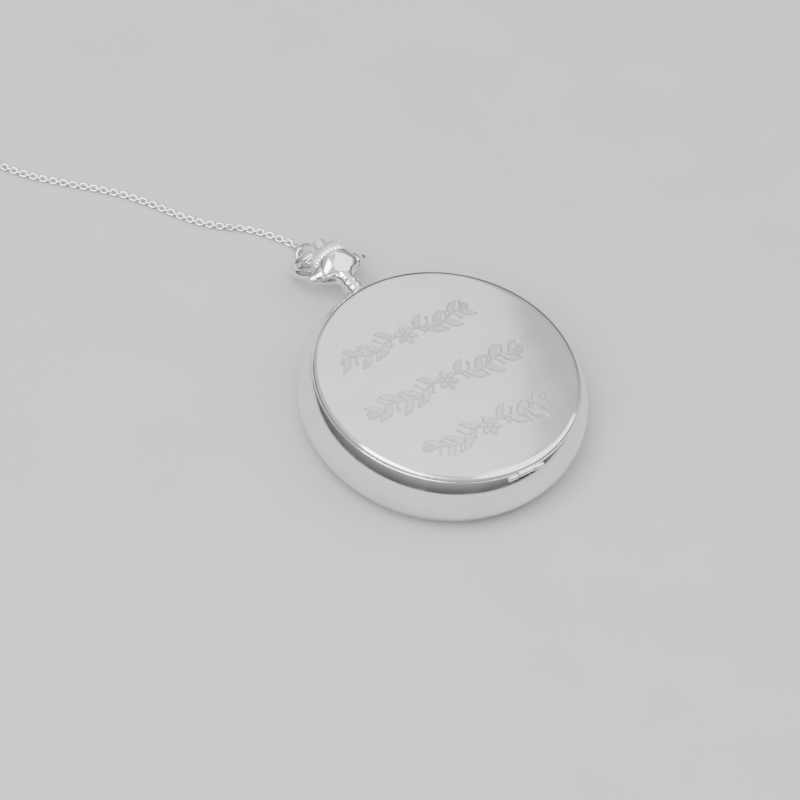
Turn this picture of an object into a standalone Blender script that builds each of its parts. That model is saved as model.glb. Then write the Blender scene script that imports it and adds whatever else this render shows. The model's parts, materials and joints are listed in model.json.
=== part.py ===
"""Full-hunter quartz pocket watch with a lidded case, a swinging bow and a fine chain.

The frame: origin at the centre of the flat case back, +Y to the pendant and crown, +Z out of the lid.
Lengths are written in millimetres and multiplied by MM where a mesh is made.
"""

import math

import bmesh
import bpy
from mathutils import Matrix, Vector

MM = 0.001
WELD = 0.000001

# Case
CASE_R = 23.5
BAND_MID_Z = 6.5
BAND_HALF = 5.0
BAND_DROP = 1.9
BAND_TOP_Z = 11.35
BAND_LOW_Z = 1.55
CASE_STEPS = 48
BACK_FLAT_R = 15.0
BACK_WALL = 0.9
LEDGE_Z = 8.9
LEDGE_R = 20.5
BORE_R = 18.6
LIP_SLOT_Z = 10.4
LIP_SLOT_R = 21.3

# Lid and its hinge
LID_TOP_Z = 13.0
LID_DOME = 0.9
LID_DOME_R = 20.5
LID_WALL = 0.6
HINGE_Y = -21.75
HINGE_Z = 10.88
KNUCKLE_R = 0.45
KNUCKLE_NOTCH_R = 0.64
LID_KNUCKLE_X = 1.5
CASE_KNUCKLE_X = (1.65, 3.4)
PIN_R = 0.2
PIN_BORE_R = 0.23

# Pendant, crown, button and bow, all on the axis (0, y, STEM_Z)
STEM_Z = 6.5
STEM_R = 0.5
TUBE_R = 0.9
CLUTCH_TEETH = 18
CLUTCH_MODULE = 0.074
TUBE_START_Y = 17.0
CROWN_Y = (31.9, 33.9)
CROWN_R = 3.15
CROWN_RIDGES = 30
BUTTON_R = 1.42
BUTTON_TOP_Y = 36.3
COLLAR_Y = (21.2, 21.85)
BOW_Y = 30.3
BOW_LENGTH = 9.1
BOW_HALF_WIDTH = 5.0
BOW_WIRE_R = 0.75
BOW_APEX_Z = 1.5
RING_R = 1.75
RING_WIRE_R = 0.28
RING_ROLL = math.radians(45)

# Movement levels
DIAL_Z = (8.3, 8.7)
PLATE_Z = (6.3, 7.4)
PLATE_R = 13.0
BRIDGE_Z = (3.7, 4.3)
BRIDGE_R = 5.5
PIVOT_R = 0.15
PIVOT_HOLE_R = 0.2
POST_R = 0.3
POST_HOLE_R = 0.34

# Gear train: teeth and modules. Each mesh of two gears shares one module.
ROTOR_TEETH = 6
FIFTH_TEETH = (30, 6)
FOURTH_TEETH = (36, 6)
THIRD_TEETH = (45, 6)
CENTRE_TEETH = 48
CANNON_TEETH = 10
MINUTE_TEETH = (30, 8)
HOUR_TEETH = 32
SETTING_TEETH = 16
ROTOR_MODULE = 0.12
FOURTH_MODULE = 0.13
THIRD_MODULE = 0.12
WORKS_MODULE = 0.12
CENTRE_MODULE = THIRD_MODULE * (FOURTH_TEETH[1] + THIRD_TEETH[0]) / (THIRD_TEETH[1] + CENTRE_TEETH)

# Chain
CHAIN_D = 1.7
CHAIN_Z = 0.9
CHAIN_ROUTE = [
    (0.05, 41.05),
    (-0.35, 42.5),
    (-1.35, 44.1),
    (-2.45, 45.7),
    (-3.9, 47.4),
    (-6.0, 49.3),
    (-8.8, 51.3),
    (-11.6, 54.0),
    (-14.0, 57.3),
    (-16.3, 60.9),
    (-19.0, 64.4),
    (-22.2, 67.6),
    (-25.6, 70.6),
    (-29.2, 73.9),
    (-32.2, 77.3),
    (-34.5, 80.9),
]
COIL_CENTRE = (-47.2, 82.2)
COIL_MEAN_R = 10.0
COIL_HALF = 1.75
COIL_Z = (0.1, 3.55)
COIL_SOFT = 0.7

# Clasp inside the coil, about the coil's centre
CLASP_X, CLASP_Y = COIL_CENTRE[0] + 0.7, COIL_CENTRE[1]
CLASP_Z = 1.0
GATE_PIVOT = (CLASP_X - 2.4, CLASP_Y + 1.8)

MATERIALS = {
    "polished_silver": ((0.80, 0.79, 0.77), 1.0, 0.12),
    "chain_silver": ((0.76, 0.75, 0.73), 1.0, 0.22),
    "spring_steel": ((0.52, 0.53, 0.55), 1.0, 0.3),
    "gear_brass": ((0.76, 0.6, 0.3), 1.0, 0.3),
    "hand_black": ((0.03, 0.03, 0.04), 0.4, 0.25),
    "dial_white": ((0.9, 0.89, 0.86), 0.0, 0.35),
    "crystal_glass": ((0.92, 0.95, 0.96), 0.0, 0.05),
    "holder_plastic": ((0.72, 0.72, 0.7), 0.0, 0.5),
    "plate_plastic": ((0.2, 0.21, 0.22), 0.0, 0.5),
    "board_green": ((0.06, 0.26, 0.14), 0.0, 0.45),
    "copper_wire": ((0.72, 0.36, 0.2), 1.0, 0.35),
    "gasket_rubber": ((0.03, 0.03, 0.03), 0.0, 0.7),
    "battery_steel": ((0.66, 0.66, 0.67), 1.0, 0.28),
}


def clear_scene():
    for o in list(bpy.data.objects):
        bpy.data.objects.remove(o, do_unlink=True)


def new_collection(name):
    made = bpy.data.collections.new(name)
    bpy.context.scene.collection.children.link(made)
    return made


def new_material(name):
    colour, metallic, roughness = MATERIALS[name]
    made = bpy.data.materials.new(name)
    made.use_nodes = True
    shader = made.node_tree.nodes["Principled BSDF"]
    shader.inputs["Base Color"].default_value = (*colour, 1.0)
    shader.inputs["Metallic"].default_value = metallic
    shader.inputs["Roughness"].default_value = roughness
    return made


clear_scene()
PARTS = new_collection("pocket_watch")
CUTTERS = new_collection("cutters")
SURFACES = {name: new_material(name) for name in MATERIALS}


def add(name, data, material=None):
    """An object in the parts, or in the cutters where it has no material."""
    made = bpy.data.objects.new(name, data)
    if material:
        data.materials.append(SURFACES[material])
        PARTS.objects.link(made)
    else:
        CUTTERS.objects.link(made)
        made.hide_render = True
        made.display_type = "WIRE"
    return made


def turn_to(axis, at=(0, 0, 0)):
    """The matrix that takes a mesh made along +Z to the given axis, at a point in millimetres."""
    turn = {
        "Z": Matrix.Identity(4),
        "Y": Matrix.Rotation(-math.pi / 2, 4, "X"),
        "X": Matrix.Rotation(math.pi / 2, 4, "Y"),
    }[axis]
    return Matrix.Translation(Vector(at) * MM) @ turn


def turned(name, profile, material=None, axis="Z", at=(0, 0, 0), steps=24):
    """A solid of revolution. A profile that starts off the axis is closed into a ring."""
    mesh = bpy.data.meshes.new(name)
    edges = [(k, k + 1) for k in range(len(profile) - 1)]
    if profile[0][0] > 0:
        edges.append((len(profile) - 1, 0))
    mesh.from_pydata([(r * MM, 0, z * MM) for r, z in profile], edges, [])
    made = add(name, mesh, material)
    screw = made.modifiers.new("turn", "SCREW")
    screw.steps = steps
    screw.render_steps = steps
    screw.use_merge_vertices = True
    screw.merge_threshold = WELD
    screw.use_smooth_shade = True
    made.matrix_world = turn_to(axis, at)
    return made


def rod(name, radius, low, high, material=None, axis="Z", at=(0, 0, 0), steps=16):
    """A cylinder from low to high along its axis."""
    return turned(name, [(0, high), (radius, high), (radius, low), (0, low)], material, axis, at, steps)


def ring(name, inner, outer, low, high, material=None, axis="Z", at=(0, 0, 0), steps=32):
    """A round tube with square ends."""
    profile = [(outer, high), (outer, low), (inner, low), (inner, high)]
    return turned(name, profile, material, axis, at, steps)


def block(name, low, high, material=None):
    """A box between two corners."""
    mesh = bpy.data.meshes.new(name)
    form = bmesh.new()
    bmesh.ops.create_cube(form, size=1.0)
    size = Vector(high) - Vector(low)
    middle = (Vector(high) + Vector(low)) / 2
    bmesh.ops.scale(form, vec=size * MM, verts=form.verts)
    bmesh.ops.translate(form, vec=middle * MM, verts=form.verts)
    form.to_mesh(mesh)
    form.free()
    return add(name, mesh, material)


def as_mesh(name, curve_object, material):
    """The curve's evaluated shape as a welded mesh object in its place; the curve is removed."""
    graph = bpy.context.evaluated_depsgraph_get()
    mesh = bpy.data.meshes.new_from_object(curve_object.evaluated_get(graph))
    mesh.materials.clear()
    form = bmesh.new()
    form.from_mesh(mesh)
    bmesh.ops.remove_doubles(form, verts=form.verts, dist=WELD)
    bmesh.ops.recalc_face_normals(form, faces=form.faces)
    form.to_mesh(mesh)
    form.free()
    made = add(name, mesh, material)
    made.matrix_world = curve_object.matrix_world
    bpy.data.objects.remove(curve_object, do_unlink=True)
    return made


def spline_of(curve, points, cyclic):
    line = curve.splines.new("POLY")
    line.points.add(len(points) - 1)
    for point, (x, y, z) in zip(line.points, points, strict=True):
        point.co = (x * MM, y * MM, z * MM, 1)
    line.use_cyclic_u = cyclic


def plate(name, outlines, low, high, material=None, axis="Z", at=(0, 0, 0)):
    """A flat outline, with any holes as further outlines, extruded from low to high."""
    curve = bpy.data.curves.new(name + "_outline", "CURVE")
    curve.dimensions = "2D"
    curve.fill_mode = "BOTH"
    curve.extrude = (high - low) / 2 * MM
    for outline in outlines:
        spline_of(curve, [(x, y, 0) for x, y in outline], True)
    flat = bpy.data.objects.new(name + "_outline", curve)
    bpy.context.scene.collection.objects.link(flat)
    flat.matrix_world = turn_to(axis, at) @ Matrix.Translation((0, 0, (low + high) / 2 * MM))
    bpy.context.view_layer.update()
    return as_mesh(name, flat, material)


def wire(name, points, radius, material=None, cyclic=False, sides=2):
    """A tube of one radius along a list of points."""
    curve = bpy.data.curves.new(name + "_line", "CURVE")
    curve.dimensions = "3D"
    curve.bevel_depth = radius * MM
    curve.bevel_resolution = sides
    curve.use_fill_caps = True
    spline_of(curve, points, cyclic)
    line = bpy.data.objects.new(name + "_line", curve)
    bpy.context.scene.collection.objects.link(line)
    bpy.context.view_layer.update()
    return as_mesh(name, line, material)


def torus(name, major, minor, matrix, material=None):
    """A closed wire ring in the XY plane of the matrix."""
    around = [2 * math.pi * k / 20 for k in range(20)]
    made = wire(name, [(major * math.cos(a), major * math.sin(a), 0) for a in around], minor, material, True)
    made.matrix_world = matrix
    return made


def boolean(target, other, operation):
    step = target.modifiers.new(other.name, "BOOLEAN")
    step.operation = operation
    step.object = other
    step.solver = "EXACT"


def cut(target, *others):
    for other in others:
        boolean(target, other, "DIFFERENCE")


def join(target, *others):
    for other in others:
        boolean(target, other, "UNION")


def circle(radius, count=24, centre=(0, 0)):
    around = [2 * math.pi * k / count for k in range(count)]
    return [(centre[0] + radius * math.cos(a), centre[1] + radius * math.sin(a)) for a in around]


def sector(inner, outer, start_deg, end_deg, count=14):
    """The outline of a ring's slice between two angles."""
    angles = [math.radians(start_deg + (end_deg - start_deg) * k / count) for k in range(count + 1)]
    out = [(outer * math.cos(a), outer * math.sin(a)) for a in angles]
    back = [(inner * math.cos(a), inner * math.sin(a)) for a in reversed(angles)]
    return out + back


def polar(distance, degrees, centre=(0.0, 0.0)):
    a = math.radians(degrees)
    return centre[0] + distance * math.cos(a), centre[1] + distance * math.sin(a)


def on_axis(name, position, *pieces):
    """An empty on a joint's axis, with the pieces that move on it as its children."""
    empty = bpy.data.objects.new(name, None)
    empty.location = Vector(position) * MM
    PARTS.objects.link(empty)
    bpy.context.view_layer.update()
    for piece in pieces:
        piece.parent = empty
        piece.matrix_parent_inverse = empty.matrix_world.inverted()


# --- case ------------------------------------------------------------------------------------


def band_radius(z):
    return CASE_R - BAND_DROP * ((z - BAND_MID_Z) / BAND_HALF) ** 2


def make_mid_case():
    span = BAND_TOP_Z - BAND_LOW_Z
    outer = [BAND_TOP_Z - span * k / 6 for k in range(7)]
    profile = [(band_radius(z), z) for z in outer] + [
        (19.6, BAND_LOW_Z),
        (19.6, 3.6),
        (BORE_R, 3.6),
        (BORE_R, LEDGE_Z),
        (LEDGE_R, LEDGE_Z),
        (LEDGE_R, LIP_SLOT_Z),
        (LIP_SLOT_R, LIP_SLOT_Z),
        (LIP_SLOT_R, BAND_TOP_Z),
    ]
    case = turned("mid_case", profile, "polished_silver", steps=CASE_STEPS)
    for side in (-1, 1):
        low, high = sorted(side * x for x in CASE_KNUCKLE_X)
        barrel = rod("case_knuckle", KNUCKLE_R, low, high, axis="X", at=(0, HINGE_Y, HINGE_Z), steps=14)
        join(case, barrel)
    notch = LID_KNUCKLE_X + 0.1
    pin_end = CASE_KNUCKLE_X[1] + 0.03
    cut(
        case,
        rod("knuckle_notch", KNUCKLE_NOTCH_R, -notch, notch, axis="X", at=(0, HINGE_Y, HINGE_Z), steps=14),
        rod("case_pin_bore", PIN_BORE_R, -pin_end, pin_end, axis="X", at=(0, HINGE_Y, HINGE_Z), steps=12),
        rod("pendant_bore", 2.1, 17.0, 25.0, axis="Y", at=(0, 0, STEM_Z), steps=24),
        plate("lock_slot", [sector(19.8, 21.25, 91.5, 156.5)], 4.6, 10.55),
        plate("lift_slot", [sector(19.8, 21.25, 197.5, 264.0)], 5.8, 10.55),
        rod("lock_screw_bore", 0.38, 3.7, 5.0, at=(*polar(20.35, 152.5), 0), steps=10),
        rod("lift_screw_bore", 0.38, 4.6, 6.2, at=(*polar(20.35, 201.5), 0), steps=10),
    )
    return case


def make_case_back():
    curve = [(BACK_FLAT_R + (21.55 - BACK_FLAT_R) * math.sin(a), 1.45 * (1 - math.cos(a))) for a in
             [math.pi / 2 * k / 4 for k in range(4, -1, -1)]]
    profile = [
        (0, BACK_WALL),
        (14.5, BACK_WALL),
        (18.6, 1.6),
        (18.6, 3.2),
        (19.45, 3.2),
        (19.45, 1.45),
        *curve,
        (0, 0),
    ]
    turned("case_back", profile, "polished_silver", steps=CASE_STEPS)


def make_lid():
    def dome(r, top):
        return top - LID_DOME * (r / LID_DOME_R) ** 2

    outside = [(r, dome(r, LID_TOP_Z)) for r in (0, 8, 15, LID_DOME_R)]
    inside = [(r, dome(r, LID_TOP_Z - LID_WALL)) for r in (20.2, 15, 8, 0)]
    profile = [
        *outside,
        (21.15, 11.95),
        (21.5, 11.72),
        (21.6, 11.45),
        (21.05, 11.45),
        (21.05, 10.65),
        (20.6, 10.65),
        (20.55, 11.2),
        *inside,
    ]
    lid = turned("lid", profile, "polished_silver", steps=CASE_STEPS)
    x = LID_KNUCKLE_X
    join(
        lid,
        block("lid_tab", (-x + 0.01, -22.0, 11.22), (x - 0.01, -21.42, 11.62)),
        rod("lid_knuckle", KNUCKLE_R, -x, x, axis="X", at=(0, HINGE_Y, HINGE_Z), steps=14),
    )
    cut(lid, rod("lid_pin_bore", PIN_BORE_R, -2, 2, axis="X", at=(0, HINGE_Y, HINGE_Z), steps=12))
    on_axis("lid_hinge_axis", (0, HINGE_Y, HINGE_Z), lid)
    pin_end = CASE_KNUCKLE_X[1]
    rod("hinge_pin", PIN_R, -pin_end, pin_end, "spring_steel", "X", (0, HINGE_Y, HINGE_Z), 12)


def make_bezel_and_crystal():
    profile = [
        (18.6, 10.95),
        (19.7, 10.75),
        (20.2, 10.4),
        (20.3, 10.1),
        (20.3, LEDGE_Z + 0.05),
        (17.4, LEDGE_Z + 0.05),
        (17.4, 9.8),
        (18.4, 9.8),
        (18.4, 10.95),
    ]
    turned("bezel", profile, "polished_silver", steps=CASE_STEPS)
    glass = [(0, 10.8), (11, 10.75), (18.3, 10.55), (18.3, 9.85), (0, 9.85)]
    turned("crystal", glass, "crystal_glass", steps=CASE_STEPS)


def make_spring_strip(name, start, end, finger, foot, low, high, finger_top):
    """A curved flat spring in its slot in the band: a strip, a finger up to the lid's lip and a foot."""
    strip = plate(name, [sector(20.85, 21.1, start, end)], low, high, "spring_steel")
    up = plate(name + "_finger", [sector(20.86, 21.09, *finger, 3)], high - 0.3, finger_top)
    tab = plate(name + "_foot", [sector(19.88, 20.95, *foot, 3)], low + 0.01, low + 0.4)
    join(strip, up, tab)
    return strip


def slotted_screw(name, at, low, neck, top, shank_r, head_r, axis="Z"):
    """A cheese-head screw along an axis: shank from low to neck, head from neck to top, with a slot."""
    profile = [(0, top), (head_r, top), (head_r, neck), (shank_r, neck), (shank_r, low), (0, low)]
    screw = turned(name, profile, "spring_steel", axis, at, 14)
    size = max(abs(top - neck) * 0.45, 0.08)
    slot = block(name + "_slot", (-head_r * 1.3, -0.07, top - size), (head_r * 1.3, 0.07, top + 0.3))
    slot.matrix_world = turn_to(axis, at)
    cut(screw, slot)
    return screw


def make_lid_springs():
    strip = make_spring_strip("lock_spring", 94.0, 155.0, (94.05, 100.0), (150.0, 154.9), 4.8, 8.2, 10.45)
    lock_at = polar(20.35, 152.5)
    cut(strip, rod("lock_foot_hole", 0.33, 4.6, 5.4, at=(*lock_at, 0), steps=10))
    on_axis("lock_spring_axis", (*lock_at, 5.0), strip)
    slotted_screw("lock_spring_screw", (*lock_at, 0), 3.8, 5.25, 5.6, 0.28, 0.42)
    lift = make_spring_strip("lift_spring", 199.0, 262.5, (258.0, 262.4), (199.05, 204.0), 6.0, 9.2, 10.45)
    lift_at = polar(20.35, 201.5)
    cut(lift, rod("lift_foot_hole", 0.33, 5.8, 6.6, at=(*lift_at, 0), steps=10))
    slotted_screw("lift_spring_screw", (*lift_at, 0), 4.8, 6.45, 6.8, 0.28, 0.42)


# --- pendant, crown, button and bow -----------------------------------------------------------


def make_pendant():
    ribs = []
    for k in range(3):
        top = 27.1 - 1.15 * k
        ribs += [(1.35, top), (1.6, top - 0.35), (1.6, top - 0.75)]
    profile = [
        (2.75, 31.6),
        (3.0, 31.3),
        (3.05, 30.3),
        (2.9, 29.4),
        (2.3, 28.4),
        (1.7, 27.6),
        *ribs,
        (2.3, 23.65),
        (2.5, 23.45),
        (2.05, 23.45),
        (2.05, 22.95),
        (1.0, 22.95),
        (1.0, 27.5),
        (1.5, 27.5),
        (1.5, 28.3),
        (1.0, 28.3),
        (1.0, 31.6),
    ]
    pendant = turned("pendant_tube", profile, "polished_silver", "Y", (0, 0, STEM_Z), 20)
    for side, name in ((-1, "left"), (1, "right")):
        low, high = sorted((side * 1.35, side * 3.3))
        cut(pendant, rod("bow_bore_" + name, 0.45, low, high, axis="X", at=(0, BOW_Y, STEM_Z), steps=12))
    ring("crown_gasket", 0.95, 1.42, 27.6, 28.2, "gasket_rubber", "Y", (0, 0, STEM_Z), 20)


def make_crown_and_stem():
    knurl = []
    for k in range(CROWN_RIDGES):
        for share, radius in ((-0.28, CROWN_R), (0.28, CROWN_R), (0.5, CROWN_R - 0.16)):
            a = 2 * math.pi * (k + share) / CROWN_RIDGES
            knurl.append((radius * math.cos(a), radius * math.sin(a)))
    crown = plate("crown", [knurl], CROWN_Y[0], CROWN_Y[1], "polished_silver", "Y", (0, 0, STEM_Z))
    cut(
        crown,
        rod("crown_bore", 0.94, 31.0, 35.0, axis="Y", at=(0, 0, STEM_Z), steps=20),
        rod("button_bore", 1.5, 33.0, 35.0, axis="Y", at=(0, 0, STEM_Z), steps=24),
    )
    profile = [
        (TUBE_R, 32.95),
        (TUBE_R, TUBE_START_Y),
        (STEM_R, TUBE_START_Y),
        (STEM_R, 10.65),
        (0.3, 10.65),
        (0.3, 9.95),
        (STEM_R, 9.95),
        (STEM_R, 5.4),
        (0, 5.4),
    ]
    hollow = [(0, 19.6), (0.36, 19.6), (0.36, 25.9), (0.62, 25.9), (0.62, 32.95)]
    stem = turned("stem", [*hollow, *profile], "spring_steel", "Y", (0, 0, STEM_Z), 16)
    cut(stem, block("stem_slot", (-1.2, 20.6, STEM_Z - 0.27), (1.2, 22.0, STEM_Z + 0.27)))
    turns, count = 6, 8
    coil = []
    for k in range(turns * count + 1):
        a = 2 * math.pi * k / count
        y = 26.05 + 4.2 * k / (turns * count)
        coil.append((0.46 * math.cos(a), y, STEM_Z + 0.46 * math.sin(a)))
    spring = wire("button_spring", coil, 0.07, "spring_steel", sides=0)
    return crown, stem, spring


def make_button():
    cap = [
        (0, BUTTON_TOP_Y),
        (0.7, BUTTON_TOP_Y - 0.1),
        (1.15, BUTTON_TOP_Y - 0.42),
        (1.38, BUTTON_TOP_Y - 0.9),
        (BUTTON_R, BUTTON_TOP_Y - 1.5),
        (BUTTON_R, 33.55),
        (0.56, 33.55),
        (0.56, 31.0),
        (0.3, 31.0),
        (0.3, 21.8),
        (0, 21.8),
    ]
    button = turned("push_button", cap, "polished_silver", "Y", (0, 0, STEM_Z), 20)
    low, high = COLLAR_Y
    collar = ring("push_collar", 1.0, 1.7, low, high, "spring_steel", "Y", (0, 0, STEM_Z), 24)
    join(collar, rod("collar_pin", 0.2, -1.3, 1.3, axis="X", at=(0, 21.5, STEM_Z), steps=10))
    return button, collar


def bow_matrix():
    """The bow's own XY plane, +Y from the pivot to the apex, at its rest angle."""
    droop = math.asin((STEM_Z - BOW_APEX_Z) / BOW_LENGTH)
    return Matrix.Translation(Vector((0, BOW_Y, STEM_Z)) * MM) @ Matrix.Rotation(-droop, 4, "X")


def bow_apex():
    return BOW_Y + math.sqrt(BOW_LENGTH**2 - (STEM_Z - BOW_APEX_Z) ** 2)


def make_bow():
    shoulder = [(3.85, 0.3), (3.95, 1.2), (4.45, 2.2), (4.85, 3.2)]
    middle = 4.1
    arc = [math.pi * k / 14 for k in range(15)]
    top = [(BOW_HALF_WIDTH * math.cos(a), middle + (BOW_LENGTH - middle) * math.sin(a)) for a in arc]
    line = shoulder + top + [(-x, y) for x, y in reversed(shoulder)]
    bow = wire("bow", [(x, y, 0) for x, y in line], BOW_WIRE_R, "polished_silver")
    bow.matrix_world = bow_matrix()
    at = (0, BOW_Y, STEM_Z)
    for side, name in ((-1, "left"), (1, "right")):
        low, high = sorted((side * 3.15, side * 4.55))
        join(bow, rod("bow_eye_" + name, 1.1, low, high, axis="X", at=at, steps=18))
    for side, name in ((-1, "left"), (1, "right")):
        low, high = sorted((side * 2.9, side * 4.9))
        cut(bow, rod("bow_eye_bore_" + name, 0.45, low, high, axis="X", at=at, steps=12))
        screw = slotted_screw("bow_screw_" + name, (0, 0, 0), 1.5, 4.62, 4.85, 0.4, 0.6, "X")
        turn = Matrix.Rotation(math.pi if side < 0 else 0, 4, "Z")
        placed = Matrix.Translation(Vector(at) * MM) @ turn
        screw.matrix_world = placed @ screw.matrix_world
        slot = bpy.data.objects["bow_screw_" + name + "_slot"]
        slot.matrix_world = placed @ slot.matrix_world
    middle_y = bow_apex() + 0.6
    roll = Matrix.Rotation(RING_ROLL, 4, "Y") @ Matrix.Rotation(math.pi / 2, 4, "Y")
    matrix = Matrix.Translation(Vector((0, middle_y, BOW_APEX_Z + 0.06)) * MM) @ roll
    link = torus("jump_ring", RING_R, RING_WIRE_R, matrix, "chain_silver")
    on_axis("bow_axis", at, bow, link)


# --- movement ---------------------------------------------------------------------------------


def gear_outline(teeth, module, phase=0.0, centre=(0.0, 0.0)):
    """A gear's outline with straight-sided teeth; the first tooth is centred on the phase angle."""
    pitch = teeth * module / 2
    root, tip = pitch - 1.15 * module, pitch + 0.9 * module
    points = []
    for k in range(teeth):
        for share, radius in ((-0.14, tip), (0.14, tip), (0.5, root)):
            a = phase + 2 * math.pi * (k + share) / teeth
            points.append((centre[0] + radius * math.cos(a), centre[1] + radius * math.sin(a)))
    return points


def meshed_phase(teeth, direction_deg, other_teeth, other_phase):
    """The phase that puts this gear's gap on the other's tooth; direction runs from the other to this."""
    line = math.radians(direction_deg)
    share = (line - other_phase) * other_teeth / (2 * math.pi)
    return line + math.pi - (0.5 - share) * 2 * math.pi / teeth


def wheel(name, centre, layers, material, hole=None):
    """A wheel made of stacked outlines (outline, low, high); hole is (radius, low, high)."""
    outline, low, high = layers[0]
    made = plate(name, [outline], low, high, material)
    for k, (outline, low, high) in enumerate(layers[1:]):
        join(made, plate(f"{name}_layer_{k}", [outline], low, high))
    if hole:
        cut(made, rod(name + "_hole", hole[0], hole[1], hole[2], at=(*centre, 0), steps=12))
    on_axis(name + "_axis", (*centre, 0), made)
    return made


def make_train():
    centre = (0.0, 0.0)
    third_deg, fifth_deg, rotor_deg = 173.0, -35.0, -60.0
    third_at = polar(THIRD_MODULE * (FOURTH_TEETH[1] + THIRD_TEETH[0]) / 2, third_deg)
    fifth_at = polar(FOURTH_MODULE * (FOURTH_TEETH[0] + FIFTH_TEETH[1]) / 2, fifth_deg)
    rotor_at = polar(ROTOR_MODULE * (FIFTH_TEETH[0] + ROTOR_TEETH) / 2, rotor_deg, fifth_at)

    def gear(teeth, module, at, phase=0.0):
        return gear_outline(teeth, module, phase, at)

    wheel(
        "fourth_wheel",
        centre,
        [
            (gear(FOURTH_TEETH[0], FOURTH_MODULE, centre), 5.6, 5.75),
            (gear(FOURTH_TEETH[1], THIRD_MODULE, centre), 5.05, 5.68),
            (circle(0.12, 10), 3.9, 9.66),
        ],
        "gear_brass",
    )
    third_phase = meshed_phase(THIRD_TEETH[0], third_deg, FOURTH_TEETH[1], 0.0)
    wheel(
        "third_wheel",
        third_at,
        [
            (gear(THIRD_TEETH[0], THIRD_MODULE, third_at, third_phase), 5.2, 5.35),
            (gear(THIRD_TEETH[1], CENTRE_MODULE, third_at), 5.28, 6.1),
            (circle(PIVOT_R, 10, third_at), 3.9, 6.6),
        ],
        "gear_brass",
    )
    centre_phase = meshed_phase(CENTRE_TEETH, third_deg - 180.0, THIRD_TEETH[1], 0.0)
    wheel(
        "centre_wheel",
        centre,
        [
            (gear(CENTRE_TEETH, CENTRE_MODULE, centre, centre_phase), 5.9, 6.05),
            (circle(0.4, 16), 5.95, 9.42),
            (gear(CANNON_TEETH, WORKS_MODULE, centre), 7.5, 7.85),
        ],
        "gear_brass",
        (0.17, 5.0, 10.0),
    )
    fifth_phase = meshed_phase(FIFTH_TEETH[1], fifth_deg, FOURTH_TEETH[0], 0.0)
    wheel(
        "fifth_wheel",
        fifth_at,
        [
            (gear(FIFTH_TEETH[0], ROTOR_MODULE, fifth_at), 4.95, 5.1),
            (gear(FIFTH_TEETH[1], FOURTH_MODULE, fifth_at, fifth_phase), 5.03, 5.84),
            (circle(PIVOT_R, 10, fifth_at), 3.9, 5.5),
        ],
        "gear_brass",
    )
    rotor_phase = meshed_phase(ROTOR_TEETH, rotor_deg, FIFTH_TEETH[0], 0.0)
    wheel(
        "rotor",
        rotor_at,
        [
            (circle(0.75, 20, rotor_at), 4.45, 4.86),
            (gear(ROTOR_TEETH, ROTOR_MODULE, rotor_at, rotor_phase), 4.8, 5.2),
            (circle(0.12, 10, rotor_at), 3.9, 6.6),
        ],
        "spring_steel",
    )
    return third_at, fifth_at, rotor_at


def make_motion_works():
    minute_deg, setting_deg = 60.0, 110.0
    minute_at = polar(WORKS_MODULE * (CANNON_TEETH + MINUTE_TEETH[0]) / 2, minute_deg)
    setting_at = polar(WORKS_MODULE * (MINUTE_TEETH[0] + SETTING_TEETH) / 2, setting_deg, minute_at)
    minute_phase = meshed_phase(MINUTE_TEETH[0], minute_deg, CANNON_TEETH, 0.0)
    wheel(
        "minute_wheel",
        minute_at,
        [
            (gear_outline(MINUTE_TEETH[0], WORKS_MODULE, minute_phase, minute_at), 7.6, 7.75),
            (gear_outline(MINUTE_TEETH[1], WORKS_MODULE, 0.0, minute_at), 7.68, 8.12),
        ],
        "gear_brass",
        (POST_HOLE_R, 7.0, 9.0),
    )
    hour_phase = meshed_phase(HOUR_TEETH, minute_deg + 180.0, MINUTE_TEETH[1], 0.0)
    wheel(
        "hour_wheel",
        (0.0, 0.0),
        [
            (gear_outline(HOUR_TEETH, WORKS_MODULE, hour_phase), 7.95, 8.1),
            (circle(0.75, 20), 7.98, 9.12),
        ],
        "gear_brass",
        (0.5, 7.0, 10.0),
    )
    setting_phase = meshed_phase(SETTING_TEETH, setting_deg, MINUTE_TEETH[0], minute_phase)
    wheel(
        "setting_wheel",
        setting_at,
        [(gear_outline(SETTING_TEETH, WORKS_MODULE, setting_phase, setting_at), 7.55, 7.75)],
        "gear_brass",
        (POST_HOLE_R, 7.0, 9.0),
    )
    return minute_at, setting_at


def make_keyless_works():
    teeth = gear_outline(CLUTCH_TEETH, CLUTCH_MODULE)
    clutch = plate("clutch_pinion", [teeth, circle(0.53, 16)], 5.6, 7.0, "spring_steel", "Y", (0, 0, STEM_Z))
    eye = (-4.5, 10.3)
    arm = [(eye[0], 10.12), (-0.36, 10.12), (-0.36, 10.48), (eye[0], 10.48)]
    lever = plate("setting_lever", [circle(0.8, 20, eye)], 6.35, 6.6, "spring_steel")
    join(lever, plate("setting_lever_arm", [arm], 6.36, 6.59))
    cut(lever, rod("setting_lever_hole", POST_HOLE_R, 6.0, 7.0, at=(*eye, 0), steps=12))
    on_axis("setting_lever_axis", (*eye, 0), lever)
    return clutch, eye


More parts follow.
